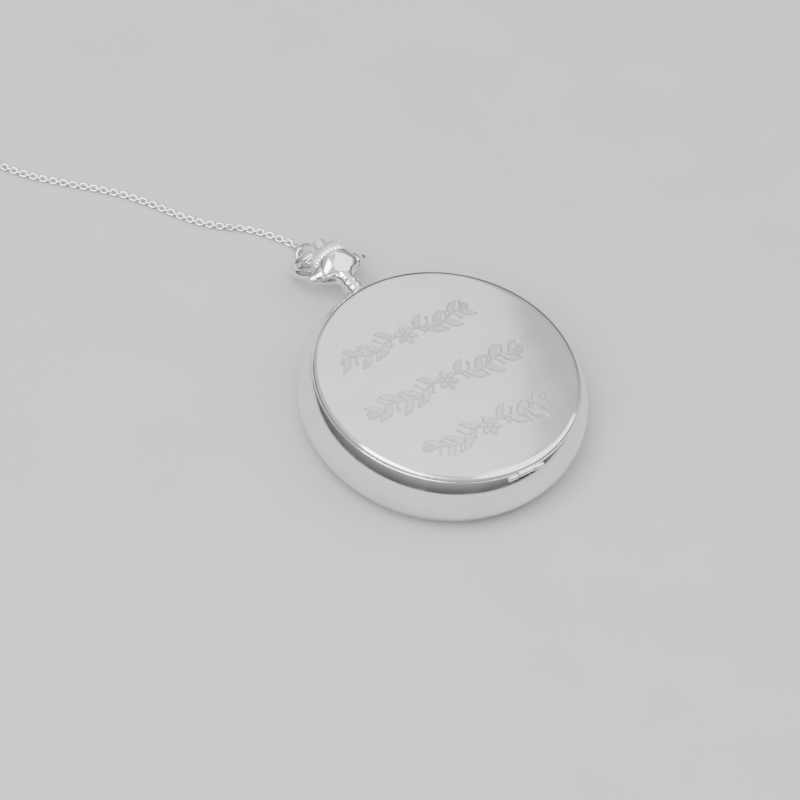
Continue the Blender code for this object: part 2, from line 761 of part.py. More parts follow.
def make_plates(third_at, fifth_at, rotor_at, minute_at, setting_at, lever_at):
    screw_at = ((4.6, 2.6), (-2.2, 4.6))
    main = plate("main_plate", [circle(PLATE_R, 56), circle(0.9, 20)], *PLATE_Z, "plate_plastic")
    join(
        main,
        rod("minute_post", POST_R, 7.3, 8.14, at=(*minute_at, 0), steps=12),
        rod("setting_post", POST_R, 7.3, 7.8, at=(*setting_at, 0), steps=12),
    )
    cut(
        main,
        block("stem_channel", (-1.05, 5.2, 6.0), (1.05, 13.6, 7.25)),
        block("lever_pocket", (-5.7, 9.2, 6.0), (0.5, 11.9, 6.75)),
        rod("third_upper_hole", PIVOT_HOLE_R, 6.0, 6.8, at=(*third_at, 0), steps=10),
        rod("rotor_upper_hole", PIVOT_HOLE_R, 6.0, 6.8, at=(*rotor_at, 0), steps=10),
    )
    join(main, rod("lever_post", POST_R, 6.15, 6.9, at=(*lever_at, 0), steps=12))
    bridge = plate("train_bridge", [circle(BRIDGE_R, 40)], *BRIDGE_Z, "battery_steel")
    for k, at in enumerate(screw_at, 1):
        join(bridge, rod(f"pillar_{k}", 0.62, 4.1, 6.25, at=(*at, 0), steps=14))
    for k, at in enumerate(screw_at, 1):
        cut(bridge, rod(f"pillar_hole_{k}", 0.34, 3.0, 6.6, at=(*at, 0), steps=12))
        cut(main, rod(f"plate_screw_hole_{k}", 0.34, 6.0, 7.0, at=(*at, 0), steps=12))
        slotted_screw(f"bridge_screw_{k}", (*at, 0), 6.9, 3.66, 3.4, 0.3, 0.55)
    for k, at in enumerate(((0, 0), third_at, fifth_at, rotor_at)):
        cut(bridge, rod(f"bridge_pivot_hole_{k}", PIVOT_HOLE_R, 3.0, 4.6, at=(*at, 0), steps=10))


def make_motor_and_power(rotor_at):
    legs = [(-1.5, -10.0), (0.0, -10.0), (0.0, -5.3), (6.6, -5.3), (6.6, -10.0), (8.0, -10.0),
            (8.0, -2.3), (-1.5, -2.3)]
    plate("stator", [legs, circle(0.95, 20, rotor_at)], 4.5, 4.8, "spring_steel")
    rod("coil_core", 0.3, -1.3, 7.8, "spring_steel", "X", (0, -9.3, 5.15), 12)
    ring("coil_winding", 0.35, 1.05, 0.3, 6.3, "copper_wire", "X", (0, -9.3, 5.15), 20)
    board = [(5.7, -1.8), (11.6, -1.8), (11.6, 4.0), (9.6, 7.6), (5.7, 7.6)]
    plate("circuit_board", [board], 4.6, 4.8, "board_green")
    rod("quartz_can", 0.62, -0.8, 5.0, "battery_steel", "Y", (8.6, 0, 5.5), 16)
    cell = [(0, 5.9), (2.9, 5.9), (3.4, 5.55), (3.4, 3.8), (0, 3.8)]
    turned("battery", cell, "battery_steel", "Z", (-7.2, -5.6, 0), 28)
    clip = [(-10.6, -6.4), (-5.0, -6.4), (-4.2, -5.8), (-4.2, -5.4), (-5.0, -4.8), (-10.6, -4.8)]
    plate("battery_clip", [clip], 3.45, 3.65, "spring_steel")


def make_holder():
    holder = ring("movement_holder", 13.2, 18.4, 3.3, 8.15, "holder_plastic", steps=40)
    cut(holder, rod("holder_stem_bore", 1.15, 12.0, 19.5, axis="Y", at=(0, 0, STEM_Z), steps=16))
    for k, degrees in enumerate((45, 135, 225, 315)):
        at = polar(15.8, degrees)
        cut(holder, rod(f"holder_relief_{k}", 1.5, 5.2, 9.0, at=(*at, 0), steps=16))


def make_dial_and_hands():
    plate("dial", [circle(18.3, CASE_STEPS), circle(0.95, 16)], *DIAL_Z, "dial_white")

    def hand(name, length, width, tail, low, high, hub_r, hole_r, clock_deg):
        a = math.radians(90 - clock_deg)
        turn = Matrix.Rotation(a, 2)
        form = [(-tail, -width / 2), (hub_r, -width / 2), (length * 0.6, -width * 0.7), (length, -width * 0.1),
                (length, width * 0.1), (length * 0.6, width * 0.7), (hub_r, width / 2), (-tail, width / 2)]
        points = [tuple(turn @ Vector(p)) for p in form]
        made = plate(name, [circle(hub_r, 20)], low, high, "hand_black")
        join(made, plate(name + "_blade", [points], low + 0.01, high - 0.01))
        cut(made, rod(name + "_hole", hole_r, low - 0.5, high + 0.5, steps=14))
        on_axis(name + "_axis", (0, 0, 0), made)

    hand("hour_hand", 9.6, 0.9, 2.0, 8.93, 9.08, 1.25, 0.79, 304.2)
    hand("minute_hand", 14.4, 0.7, 3.0, 9.22, 9.37, 0.95, 0.43, 50.4)
    hand("second_hand", 15.4, 0.22, 4.2, 9.54, 9.64, 0.6, 0.15, 144.0)


# --- chain and clasp --------------------------------------------------------------------------


def smooth_line(points, step):
    """Points every step or so along a Catmull-Rom curve through the given points."""
    given = [Vector(p) for p in points]
    padded = [2 * given[0] - given[1], *given, 2 * given[-1] - given[-2]]
    line = []
    for k in range(len(given) - 1):
        a, b, c, d = padded[k : k + 4]
        count = max(1, round((c - b).length / step))
        for j in range(count):
            t = j / count
            line.append(
                0.5 * (2 * b + (c - a) * t + (2 * a - 5 * b + 4 * c - d) * t**2
                       + (3 * b - a - 3 * c + d) * t**3)
            )
    return [*line, given[-1]]


def make_chain():
    line = smooth_line([(x, y, CHAIN_Z) for x, y in CHAIN_ROUTE], 2 * CHAIN_D)
    wire("chain_run", [tuple(p) for p in line], CHAIN_D / 2, "chain_silver", sides=2)
    low, high = COIL_Z
    inner, outer = COIL_MEAN_R - COIL_HALF, COIL_MEAN_R + COIL_HALF
    profile = [
        (outer - COIL_SOFT, high),
        (outer, high - COIL_SOFT),
        (outer, low + COIL_SOFT),
        (outer - COIL_SOFT, low),
        (inner + COIL_SOFT, low),
        (inner, low + COIL_SOFT),
        (inner, high - COIL_SOFT),
        (inner + COIL_SOFT, high),
    ]
    turned("chain_coil", profile, "chain_silver", "Z", (*COIL_CENTRE, 0), 32)


def make_clasp():
    eye_at = Matrix.Translation(Vector((CLASP_X - 6.7, CLASP_Y, CLASP_Z)) * MM)
    eye = torus("swivel_ring", 1.3, 0.32, eye_at, "chain_silver")
    along = {"axis": "X", "at": (CLASP_X, CLASP_Y, CLASP_Z)}
    join(eye, rod("swivel_barrel", 0.85, -5.6, -4.8, steps=16, **along))
    cut(eye, rod("swivel_bore", 0.45, -5.64, -4.5, steps=12, **along))
    low = (CLASP_X - 4.5, CLASP_Y - 2.7, CLASP_Z - 0.85)
    high = (CLASP_X - 1.5, CLASP_Y + 2.7, CLASP_Z + 0.85)
    body = block("clasp_body", low, high, "chain_silver")
    bend = [math.radians(-90 + 180 * k / 10) for k in range(11)]
    hook = [(-2.1, -1.8), (1.5, -1.8)]
    hook += [(4.5 + 1.8 * math.cos(a), 1.8 * math.sin(a)) for a in bend] + [(2.7, 1.8)]
    line = [(CLASP_X + x, CLASP_Y + y, CLASP_Z) for x, y in hook]
    neck = rod("clasp_neck", 0.4, -5.55, -4.0, steps=12, **along)
    join(body, wire("clasp_hook", line, 0.65), neck)
    px, py = GATE_PIVOT
    slot = ((px - 0.8, py - 0.9, CLASP_Z - 0.32), (px + 1.9, py + 1.4, CLASP_Z + 0.32))
    cut(body, block("gate_slot", *slot))
    cut(body, rod("gate_pin_bore", 0.23, -1, 3, at=(px, py, 0), steps=10))
    rod("clasp_pin", 0.2, 0.2, 1.8, "spring_steel", "Z", (px, py, 0), 10)
    gate = plate("clasp_gate", [circle(0.68, 18, GATE_PIVOT)], CLASP_Z - 0.27, CLASP_Z + 0.27, "chain_silver")
    bar = [(px, py - 0.4), (px + 4.9, py - 0.4), (px + 4.9, py + 0.4), (px, py + 0.4)]
    join(gate, plate("gate_bar", [bar], CLASP_Z - 0.26, CLASP_Z + 0.26))
    cut(gate, rod("gate_bore", 0.23, -1, 3, at=(px, py, 0), steps=10))
    on_axis("clasp_gate_axis", (px, py, CLASP_Z), gate)
    on_axis("clasp_swivel_axis", (CLASP_X - 4.5, CLASP_Y, CLASP_Z), body)


def main():
    make_mid_case()
    make_case_back()
    make_lid()
    make_bezel_and_crystal()
    make_lid_springs()
    make_pendant()
    crown, stem, spring = make_crown_and_stem()
    button, collar = make_button()
    clutch, lever_at = make_keyless_works()
    on_axis("crown_axis", (0, CROWN_Y[0], STEM_Z), crown, stem, spring, button, collar, clutch)
    make_bow()
    third_at, fifth_at, rotor_at = make_train()
    minute_at, setting_at = make_motion_works()
    make_plates(third_at, fifth_at, rotor_at, minute_at, setting_at, lever_at)
    make_motor_and_power(rotor_at)
    make_holder()
    make_dial_and_hands()
    make_chain()
    make_clasp()
    for piece in PARTS.objects:
        if piece.type == "MESH":
            if any(step.type == "BOOLEAN" for step in piece.modifiers):
                piece.modifiers.new("weld", "WELD").merge_threshold = WELD
            piece.data.shade_smooth()
            piece.data.set_sharp_from_angle(angle=math.radians(35))


main()
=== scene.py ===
"""The looks of the pocket watch: every visible surface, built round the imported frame."""

import json
import math

import bmesh
import bpy
import numpy as np
from mathutils import Matrix, Vector


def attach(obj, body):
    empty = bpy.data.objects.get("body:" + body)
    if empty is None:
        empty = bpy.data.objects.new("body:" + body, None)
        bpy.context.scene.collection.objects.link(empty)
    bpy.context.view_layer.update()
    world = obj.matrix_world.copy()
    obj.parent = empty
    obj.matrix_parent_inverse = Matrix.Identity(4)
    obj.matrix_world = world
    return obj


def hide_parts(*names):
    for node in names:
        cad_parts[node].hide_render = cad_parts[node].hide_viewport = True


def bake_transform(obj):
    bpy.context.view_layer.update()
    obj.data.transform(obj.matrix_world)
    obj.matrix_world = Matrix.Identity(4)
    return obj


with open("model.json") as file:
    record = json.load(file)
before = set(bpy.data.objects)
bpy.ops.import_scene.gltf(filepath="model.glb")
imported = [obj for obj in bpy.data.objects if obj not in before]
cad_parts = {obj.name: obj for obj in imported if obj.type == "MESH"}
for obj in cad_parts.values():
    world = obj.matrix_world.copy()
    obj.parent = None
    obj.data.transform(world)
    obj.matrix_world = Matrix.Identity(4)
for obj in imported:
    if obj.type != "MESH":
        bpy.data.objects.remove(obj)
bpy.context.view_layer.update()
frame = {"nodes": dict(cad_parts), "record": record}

MM = 0.001
TAU = 2 * math.pi

# Sizes in millimetres, in the frame of the CAD model
CASE_STEPS = 256
DIAL_STEPS = 192
BAND_R = 23.5
BAND_MID_Z = 6.5
BAND_BULGE = 1.9
BAND_Z = (1.55, 11.35)
LID_TOP = 13.0
LID_DOME = 0.9
LID_DOME_R = 20.5
HINGE = (0.0, -21.75, 10.88)
KNUCKLE_R = 0.45
LID_KNUCKLE_X = 1.5
CASE_KNUCKLE_X = (1.65, 3.4)
STEM_Z = 6.5
BOW_Y = 30.3
BOW_LENGTH = 9.1
BOW_HALF_WIDTH = 5.0
BOW_APEX_Z = 1.5
BOW_WIRE_R = 0.75
CHAIN_ROUTE = [
    (0.05, 41.05), (-0.35, 42.5), (-1.35, 44.1), (-2.45, 45.7), (-3.9, 47.4), (-6.0, 49.3), (-8.8, 51.3),
    (-11.6, 54.0), (-14.0, 57.3), (-16.3, 60.9), (-19.0, 64.4), (-22.2, 67.6), (-25.6, 70.6), (-29.2, 73.9),
    (-32.2, 77.3), (-34.5, 80.9),
]
COIL_CENTRE = (-47.2, 82.2)

CAMERA_LENS, CAMERA_SENSOR = 195.0, 36.0
CAMERA_AT = (-316.92, -319.10, 534.30)
CAMERA_BACK = (-0.4486, -0.4650, 0.7633)  # the direction from the watch to the camera
CAMERA_ROLL = 12.06


# --- camera ---


def make_camera():
    data = bpy.data.cameras.new("camera")
    data.lens, data.sensor_width = CAMERA_LENS, CAMERA_SENSOR
    data.clip_start, data.clip_end = 0.01, 10.0
    camera = bpy.data.objects.new("camera", data)
    bpy.context.scene.collection.objects.link(camera)
    back = Vector(CAMERA_BACK).normalized()
    right = Vector((0, 0, 1)).cross(back).normalized()
    up = back.cross(right)
    roll = math.radians(CAMERA_ROLL)
    x = right * math.cos(roll) + up * math.sin(roll)
    y = up * math.cos(roll) - right * math.sin(roll)
    turn = Matrix((x, y, back)).transposed().to_4x4()
    camera.matrix_world = Matrix.Translation(Vector(CAMERA_AT) * MM) @ turn
    bpy.context.scene.camera = camera


make_camera()


# --- shapes ---


class Form:
    """Vertices and faces in millimetres, gathered from several shapes into one piece."""

    def __init__(self):
        self.verts, self.faces = [], []

    def add(self, shape, matrix=None):
        verts, faces = shape
        base = len(self.verts)
        self.verts += [matrix @ Vector(v) if matrix else Vector(v) for v in verts]
        self.faces += [tuple(base + i for i in f) for f in faces]
        return self

    def make(self, name, material, sharp=30):
        mesh = bpy.data.meshes.new(name)
        mesh.from_pydata([tuple(v * MM) for v in self.verts], [], self.faces)
        outward(mesh)
        mesh.materials.append(material)
        piece = bpy.data.objects.new(name, mesh)
        bpy.context.scene.collection.objects.link(piece)
        smooth(piece, sharp)
        return piece


def outward(mesh):
    bm = bmesh.new()
    bm.from_mesh(mesh)
    bmesh.ops.remove_doubles(bm, verts=bm.verts, dist=1e-8)
    bmesh.ops.recalc_face_normals(bm, faces=bm.faces)
    bm.to_mesh(mesh)
    bm.free()


def smooth(piece, sharp):
    """Smooth shading, but for edges sharper than the angle in degrees."""
    piece.data.shade_smooth()
    piece.data.set_sharp_from_angle(angle=math.radians(sharp))


def shift(x, y, z):
    return Matrix.Translation(Vector((x, y, z)))


def turn_z_to(axis, at=(0, 0, 0)):
    """Turns a shape made along Z so that it lies along X or Y, and puts it in place."""
    turns = {"X": Matrix.Rotation(math.pi / 2, 4, "Y"), "Y": Matrix.Rotation(-math.pi / 2, 4, "X")}
    return shift(*at) @ turns[axis]


def sideways(shape, side):
    """Lays a shape made along Z along X, or along -X where the side is -1."""
    verts, faces = shape
    return [(side * z, y, x) for x, y, z in verts], faces


def circle(radius, steps):
    return [(radius * math.cos(TAU * k / steps), radius * math.sin(TAU * k / steps)) for k in range(steps)]


def rounded(corners, steps=5):
    """A closed outline of (r, h, radius) corners, each corner rounded by its radius."""
    points = []
    count = len(corners)
    for k, corner in enumerate(corners):
        here = Vector(corner[:2])
        radius = corner[2] if len(corner) > 2 else 0
        if radius <= 0:
            points.append(tuple(here))
            continue
        before = Vector(corners[k - 1][:2]) - here
        after = Vector(corners[(k + 1) % count][:2]) - here
        half = before.angle(after) / 2
        back = min(radius / math.tan(half), before.length * 0.49, after.length * 0.49)
        radius = back * math.tan(half)
        start, end = here + before.normalized() * back, here + after.normalized() * back
        centre = here + (before.normalized() + after.normalized()).normalized() * (radius / math.sin(half))
        first, last = start - centre, end - centre
        swing = first.angle(last)
        for j in range(steps + 1):
            t = j / steps
            a, b = math.sin((1 - t) * swing), math.sin(t * swing)
            points.append(tuple(centre + (first * a + last * b) / math.sin(swing)))
    return points


def lathe(outline, steps, closed=True):
    """A solid turned about Z from an outline of (r, z) points."""
    verts, faces, rings = [], [], []
    for r, z in outline:
        if r < 1e-6:
            rings.append([len(verts)] * steps)
            verts.append((0, 0, z))
        else:
            rings.append([len(verts) + k for k in range(steps)])
            verts += [(x, y, z) for x, y in circle(r, steps)]
    pairs = list(zip(rings, rings[1:] + rings[:1])) if closed else list(zip(rings, rings[1:]))
    for low, high in pairs:
        for k in range(steps):
            j = (k + 1) % steps
            face = []
            for i in (low[k], low[j], high[j], high[k]):
                if i not in face:
                    face.append(i)
            if len(face) > 2:
                faces.append(tuple(face))
    return verts, faces


def loft(rings, closed=False):
    """Skins a list of rings, each a list of as many points, and caps its ends unless it is closed."""
    verts = [p for ring in rings for p in ring]
    count, faces = len(rings[0]), []
    pairs = list(range(len(rings) - 1)) + ([-1] if closed else [])
    for k in pairs:
        a, b = (k % len(rings)) * count, ((k + 1) % len(rings)) * count
        for i in range(count):
            j = (i + 1) % count
            faces.append((a + i, a + j, b + j, b + i))
    if not closed:
        faces.append(tuple(reversed(range(count))))
        faces.append(tuple((len(rings) - 1) * count + i for i in range(count)))
    return verts, faces


def swept(line, radii, sides, closed=False, up=(0, 0, 1)):
    """A tube along the points; radii is one number or one for each point."""
    points = [Vector(p) for p in line]
    count = len(points)
    radii = [radii] * count if isinstance(radii, (int, float)) else radii
    tangents = []
    for k in range(count):
        a = points[(k - 1) % count] if closed or k else points[k]
        b = points[(k + 1) % count] if closed or k < count - 1 else points[k]
        tangents.append((b - a).normalized())
    normal = Vector(up)
    rings = []
    for point, tangent, radius in zip(points, tangents, radii):
        normal = (normal - tangent * normal.dot(tangent)).normalized()
        side = tangent.cross(normal)
        rings.append([point + (normal * c + side * s) * radius for c, s in circle(1, sides)])
    return loft(rings, closed)


BEVEL_STEPS = 3


def prism(outline, low, high, bevel=0.0):
    """An outline of (x, y) points raised from low to high, its upper edge rounded by the bevel."""
    points = [Vector(p) for p in outline]
    count = len(points)
    inward = []
    area = sum(points[k - 1].x * points[k].y - points[k].x * points[k - 1].y for k in range(count))
    sign = 1 if area > 0 else -1
    for k in range(count):
        a, b = (points[k] - points[k - 1]), (points[(k + 1) % count] - points[k])
        a, b = a.normalized(), b.normalized()
        n = Vector((-(a.y + b.y), a.x + b.x)) * sign
        inward.append(n.normalized() / max(0.35, math.cos(a.angle(b, 0) / 2)) if n.length > 1e-6 else n)
    levels = [(0.0, low)]  # (how far the outline is drawn in, height)
    if bevel > 0:
        for j in range(BEVEL_STEPS + 1):
            a = math.pi / 2 * j / BEVEL_STEPS
            levels.append((bevel * (1 - math.cos(a)), high - bevel * (1 - math.sin(a))))
    else:
        levels.append((0.0, high))
    rings = [[tuple(p + n * back) + (z,) for p, n in zip(points, inward)] for back, z in levels]
    return loft(rings)


def smooth_line(points, step):
    """Points every step or so along a Catmull-Rom curve through the given points."""
    given = [Vector(p) for p in points]
    padded = [2 * given[0] - given[1], *given, 2 * given[-1] - given[-2]]
    line = []
    for k in range(len(given) - 1):
        a, b, c, d = padded[k : k + 4]
        count = max(1, round((c - b).length / step))
        for j in range(count):
            t = j / count
            square, cube = 2 * a - 5 * b + 4 * c - d, 3 * b - a - 3 * c + d
            line.append(0.5 * (2 * b + (c - a) * t + square * t**2 + cube * t**3))
    return [*line, given[-1]]


def evenly(points, spacing):
    """The points of a line resampled at even spacing."""
    found = np.array([tuple(p) for p in points], float)
    along = np.concatenate([[0], np.cumsum(np.linalg.norm(np.diff(found, axis=0), axis=1))])
    marks = np.linspace(0, along[-1], round(along[-1] / spacing) + 1)
    return [Vector((np.interp(s, along, found[:, i]) for i in range(3))) for s in marks]


def arc_points(centre, radius, start, end, steps):
    """Points along an arc, with the angles in degrees."""
    marks = [math.radians(start + (end - start) * k / steps) for k in range(steps + 1)]
    return [(centre[0] + radius * math.cos(a), centre[1] + radius * math.sin(a)) for a in marks]


def carve(piece, *cutters):
    """Takes the cutters' forms out of a piece."""
    for k, form in enumerate(cutters):
        tool = form.make(f"{piece.name}_cutter_{k}", piece.data.materials[0])
        step = piece.modifiers.new("cut", "BOOLEAN")
        step.operation, step.solver, step.object = "DIFFERENCE", "EXACT", tool
        apply_modifiers(piece)
        bpy.data.objects.remove(tool)


def apply_modifiers(piece):
    graph = bpy.context.evaluated_depsgraph_get()
    graph.update()
    mesh = bpy.data.meshes.new_from_object(piece.evaluated_get(graph))
    piece.modifiers.clear()
    piece.data = mesh


def place(piece, body, slot, *nodes):
    """Rides a piece on its body and hides the CAD nodes that it stands for; its slot is not used."""
    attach(piece, body)
    if nodes:
        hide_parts(*nodes)
    return piece


# --- materials ---


class Shader:
    """A small builder of node materials, on object coordinates in metres."""

    def __init__(self, name):
        self.material = bpy.data.materials.new(name)
        self.material.use_nodes = True
        tree = self.material.node_tree
        self.nodes, self.links = tree.nodes, tree.links
        self.surface = self.nodes["Principled BSDF"]
        self.coords = self.nodes.new("ShaderNodeTexCoord").outputs["Object"]

    def set(self, **values):
        for key, value in values.items():
            self.surface.inputs[key.replace("_", " ")].default_value = value
        return self

    def link(self, output, socket):
        self.links.new(output, self.surface.inputs[socket])

    def new(self, kind, inputs=(), **settings):
        node = self.nodes.new("ShaderNode" + kind)
        for key, value in settings.items():
            setattr(node, key, value)
        for key, value in dict(inputs).items():
            if isinstance(value, bpy.types.NodeSocket):
                self.links.new(value, node.inputs[key])
            else:
                node.inputs[key].default_value = value
        return node

    def stretched(self, scale, turn=(0, 0, 0)):
        return self.new("Mapping", {"Vector": self.coords, "Scale": scale, "Rotation": turn}).outputs[0]

    def noise(self, scale, detail=3.0, vector=None, rough=0.5, distortion=0.0):
        values = {"Scale": scale, "Detail": detail, "Roughness": rough, "Distortion": distortion}
        return self.new("TexNoise", {"Vector": vector or self.coords, **values}).outputs["Fac"]

    def spread(self, value, low, high, start=0.3, end=0.7):
        """Maps a value from start..end to low..high."""
        ends = {"From Min": start, "From Max": end, "To Min": low, "To Max": high}
        return self.new("MapRange", {"Value": value, **ends}).outputs[0]

    def ramp(self, value, *stops):
        node = self.new("ValToRGB", {"Fac": value})
        ramp = node.color_ramp
        while len(ramp.elements) < len(stops):
            ramp.elements.new(0.5)
        for element, (at, colour) in zip(ramp.elements, stops):
            element.position, element.color = at, (*colour, 1)
        return node.outputs["Color"]

    def mixed(self, value, a, b):
        node = self.new("Mix", data_type="RGBA")
        for key, item in (("Factor", value), ("A", a), ("B", b)):
            socket = next(s for s in node.inputs if s.name == key and (s.type == "RGBA") == (key != "Factor"))
            if isinstance(item, bpy.types.NodeSocket):
                self.links.new(item, socket)
            else:
                socket.default_value = item if key == "Factor" else (*item, 1)
        return next(s for s in node.outputs if s.type == "RGBA")

    def maths(self, operation, a, b=0.0):
        node = self.new("Math", operation=operation)
        for k, item in enumerate((a, b)):
            if isinstance(item, bpy.types.NodeSocket):
                self.links.new(item, node.inputs[k])
            else:
                node.inputs[k].default_value = item
        return node.outputs[0]

    def bump(self, height, distance, strength=1.0, onto=None):
        node = self.new("Bump", {"Height": height, "Distance": distance, "Strength": strength})
        if onto:
            self.links.new(onto, node.inputs["Normal"])
        return node.outputs[0]


SCRATCHES = (((300, 9000, 900), 25), ((9000, 260, 900), -12), ((420, 12000, 900), -50))  # (scale, degrees)


def smudges(s):
    return s.noise(140, 5, rough=0.6, distortion=0.6)


def hairlines(s):
    """Fine scratches in three directions."""
    hair = [s.noise(1, 2, s.stretched(scale, (0, 0, math.radians(turn)))) for scale, turn in SCRATCHES]
    return s.maths("MULTIPLY", s.maths("MULTIPLY", hair[0], hair[1]), hair[2])


def polished(name, colour, rough=(0.07, 0.15), scratch=0.05, wave=0.25):
    """Polished plated metal: faint smudges, hairline scratches and a slight waviness."""
    s = Shader(name).set(Metallic=1.0)
    darker = tuple(c * 0.94 for c in colour)
    smudge = smudges(s)
    s.link(s.ramp(smudge, (0.35, darker), (0.62, colour)), "Base Color")
    lines = hairlines(s)
    roughness = s.maths("ADD", s.spread(smudge, *rough), s.spread(lines, 0, 0.05, 0.1, 0.25))
    s.link(roughness, "Roughness")
    broad = s.bump(s.noise(260, 2), 0.00002, wave)
    s.link(s.bump(lines, 0.00001, scratch, broad), "Normal")
    return s.material


def mottled(s, scale, colour, depth):
    """Clouds of the colour darkened by the depth."""
    cloud = s.noise(scale, 4)
    s.link(s.ramp(cloud, (0.3, tuple(c * depth for c in colour)), (0.7, colour)), "Base Color")


def brushed(name, colour, rough=(0.25, 0.4), scale=(400, 12000, 400), depth=0.000008):
    """Satin metal with a grain along one direction."""
    s = Shader(name).set(Metallic=1.0)
    grain = s.noise(1, 3, s.stretched(scale))
    mottled(s, 500, colour, 0.82)
    s.link(s.spread(grain, *rough), "Roughness")
    s.link(s.bump(grain, depth, 0.6), "Normal")
    return s.material


def plastic(name, colour, rough=(0.35, 0.5), grain=3500):
    s = Shader(name)
    mottled(s, 300, colour, 0.85)
    fine = s.noise(grain, 3)
    s.link(s.spread(fine, *rough), "Roughness")
    s.link(s.bump(fine, 0.00001, 0.5), "Normal")
    return s.material


def lid_metal():
    """The lid's polish, turned to a fine frosting where the engraving is, with painted shade darkening the
    engraved strokes' edges.
    """
    s = Shader("lid_silver").set(Metallic=1.0)
    smudge = smudges(s)
    etched = s.new("Attribute", attribute_name="etched").outputs["Fac"]
    speck = s.noise(5200, 3, rough=0.7)
    hatch = s.noise(1, 2, s.stretched((1200, 9000, 1), (0, 0, math.radians(35))))
    grain = s.maths("MULTIPLY", speck, hatch)
    polish = s.ramp(smudge, (0.35, (0.80, 0.79, 0.765)), (0.62, (0.86, 0.85, 0.83)))
    frost = s.ramp(grain, (0.14, (0.50, 0.495, 0.48)), (0.34, (0.86, 0.855, 0.84)))
    # Painted shade: the strokes' edges are darkened towards dark grey, standing in for the shade along the
    # grooves' walls.
    rim = s.new("Attribute", attribute_name="etch_rim").outputs["Fac"]
    edge = s.spread(s.maths("MULTIPLY", rim, s.spread(speck, 0.45, 1.0, 0.35, 0.6)), 0, 0.8, 0, 1)
    s.link(s.mixed(edge, s.mixed(etched, polish, frost), (0.38, 0.375, 0.36)), "Base Color")
    lines = hairlines(s)
    sleek = s.maths("ADD", s.spread(smudge, 0.08, 0.15), s.spread(lines, 0, 0.05, 0.1, 0.25))
    coarse = s.spread(speck, 0.32, 0.5)
    rough = s.new("Mix", data_type="FLOAT")
    s.links.new(etched, rough.inputs[0])
    s.links.new(sleek, rough.inputs[2])
    s.links.new(coarse, rough.inputs[3])
    s.link(rough.outputs[0], "Roughness")
    broad = s.bump(s.noise(120, 2), 0.00002, 0.2)
    fine = s.bump(lines, 0.00001, 0.04, broad)
    pits = s.bump(s.maths("MULTIPLY", grain, etched), 0.00006, 0.9, fine)
    s.link(pits, "Normal")
    return s.material


def glass():
    s = Shader("crystal_glass").set(IOR=1.5, Transmission_Weight=1.0, Base_Color=(0.98, 0.99, 0.99, 1))
    s.link(s.spread(s.noise(900, 4), 0.0, 0.03), "Roughness")
    return s.material


def enamel(name, colour, depth=0.9):
    """Smooth lacquer with a faint mottle."""
    s = Shader(name).set(Coat_Weight=0.4, Coat_Roughness=0.08)
    mottled(s, 380, colour, depth)
    s.link(s.spread(s.noise(2500, 3), 0.22, 0.34), "Roughness")
    s.link(s.bump(s.noise(700, 3), 0.00001, 0.3), "Normal")
    return s.material


SILVER = polished("polished_silver", (0.86, 0.855, 0.84))
# A brighter copy of the silver for the crown and button: painted highlight standing in for their bright
# glints; their rougher satin finish is their own.
CROWN_SILVER_PAINTED_HIGHLIGHT = polished("crown_silver_painted_highlight", (0.95, 0.945, 0.93), (0.28, 0.38), 0.1)
LINK_SILVER = polished("chain_silver", (0.83, 0.825, 0.81), (0.12, 0.22), 0.1)
MATERIALS = {
    "polished_silver": SILVER,
    "chain_silver": LINK_SILVER,
    "spring_steel": brushed("spring_steel", (0.56, 0.57, 0.60)),
    "gear_brass": brushed("gear_brass", (0.80, 0.62, 0.30), (0.2, 0.34)),
    "hand_black": enamel("hand_black", (0.025, 0.026, 0.034), 0.7),
    "dial_white": enamel("dial_white", (0.87, 0.86, 0.82), 0.97),
    "crystal_glass": glass(),
    "holder_plastic": plastic("holder_plastic", (0.70, 0.70, 0.68)),
    "plate_plastic": plastic("plate_plastic", (0.16, 0.17, 0.18)),
    "board_green": plastic("board_green", (0.04, 0.22, 0.11), (0.25, 0.35)),
    "copper_wire": brushed("copper_wire", (0.75, 0.35, 0.18), (0.25, 0.4), (9000, 300, 300)),
    "gasket_rubber": plastic("gasket_rubber", (0.03, 0.03, 0.03), (0.6, 0.75)),
    "battery_steel": brushed("battery_steel", (0.70, 0.70, 0.71), (0.25, 0.38)),
}
LID_SILVER = lid_metal()


def dress_cad_nodes():
    for row in frame["record"]["subparts"]:
        mesh = frame["nodes"][row["node"]].data
        mesh.materials.clear()
        mesh.materials.append(MATERIALS[row["material_slot"]])


dress_cad_nodes()


# --- chain, which comes first ---

LINK_PITCH = 0.85
LINK_WIRE_R = 0.2
LINK_END_R = 0.43
LINK_STRAIGHT = 0.195
CHAIN_Z = 0.6
STACK_Z = CHAIN_Z + 1.5

CLASP_AT = (COIL_CENTRE[0] + 0.7, COIL_CENTRE[1], 1.0)
SWIVEL_EYE = (CLASP_AT[0] - 6.7, CLASP_AT[1], CLASP_AT[2])
EYE_R = 1.3


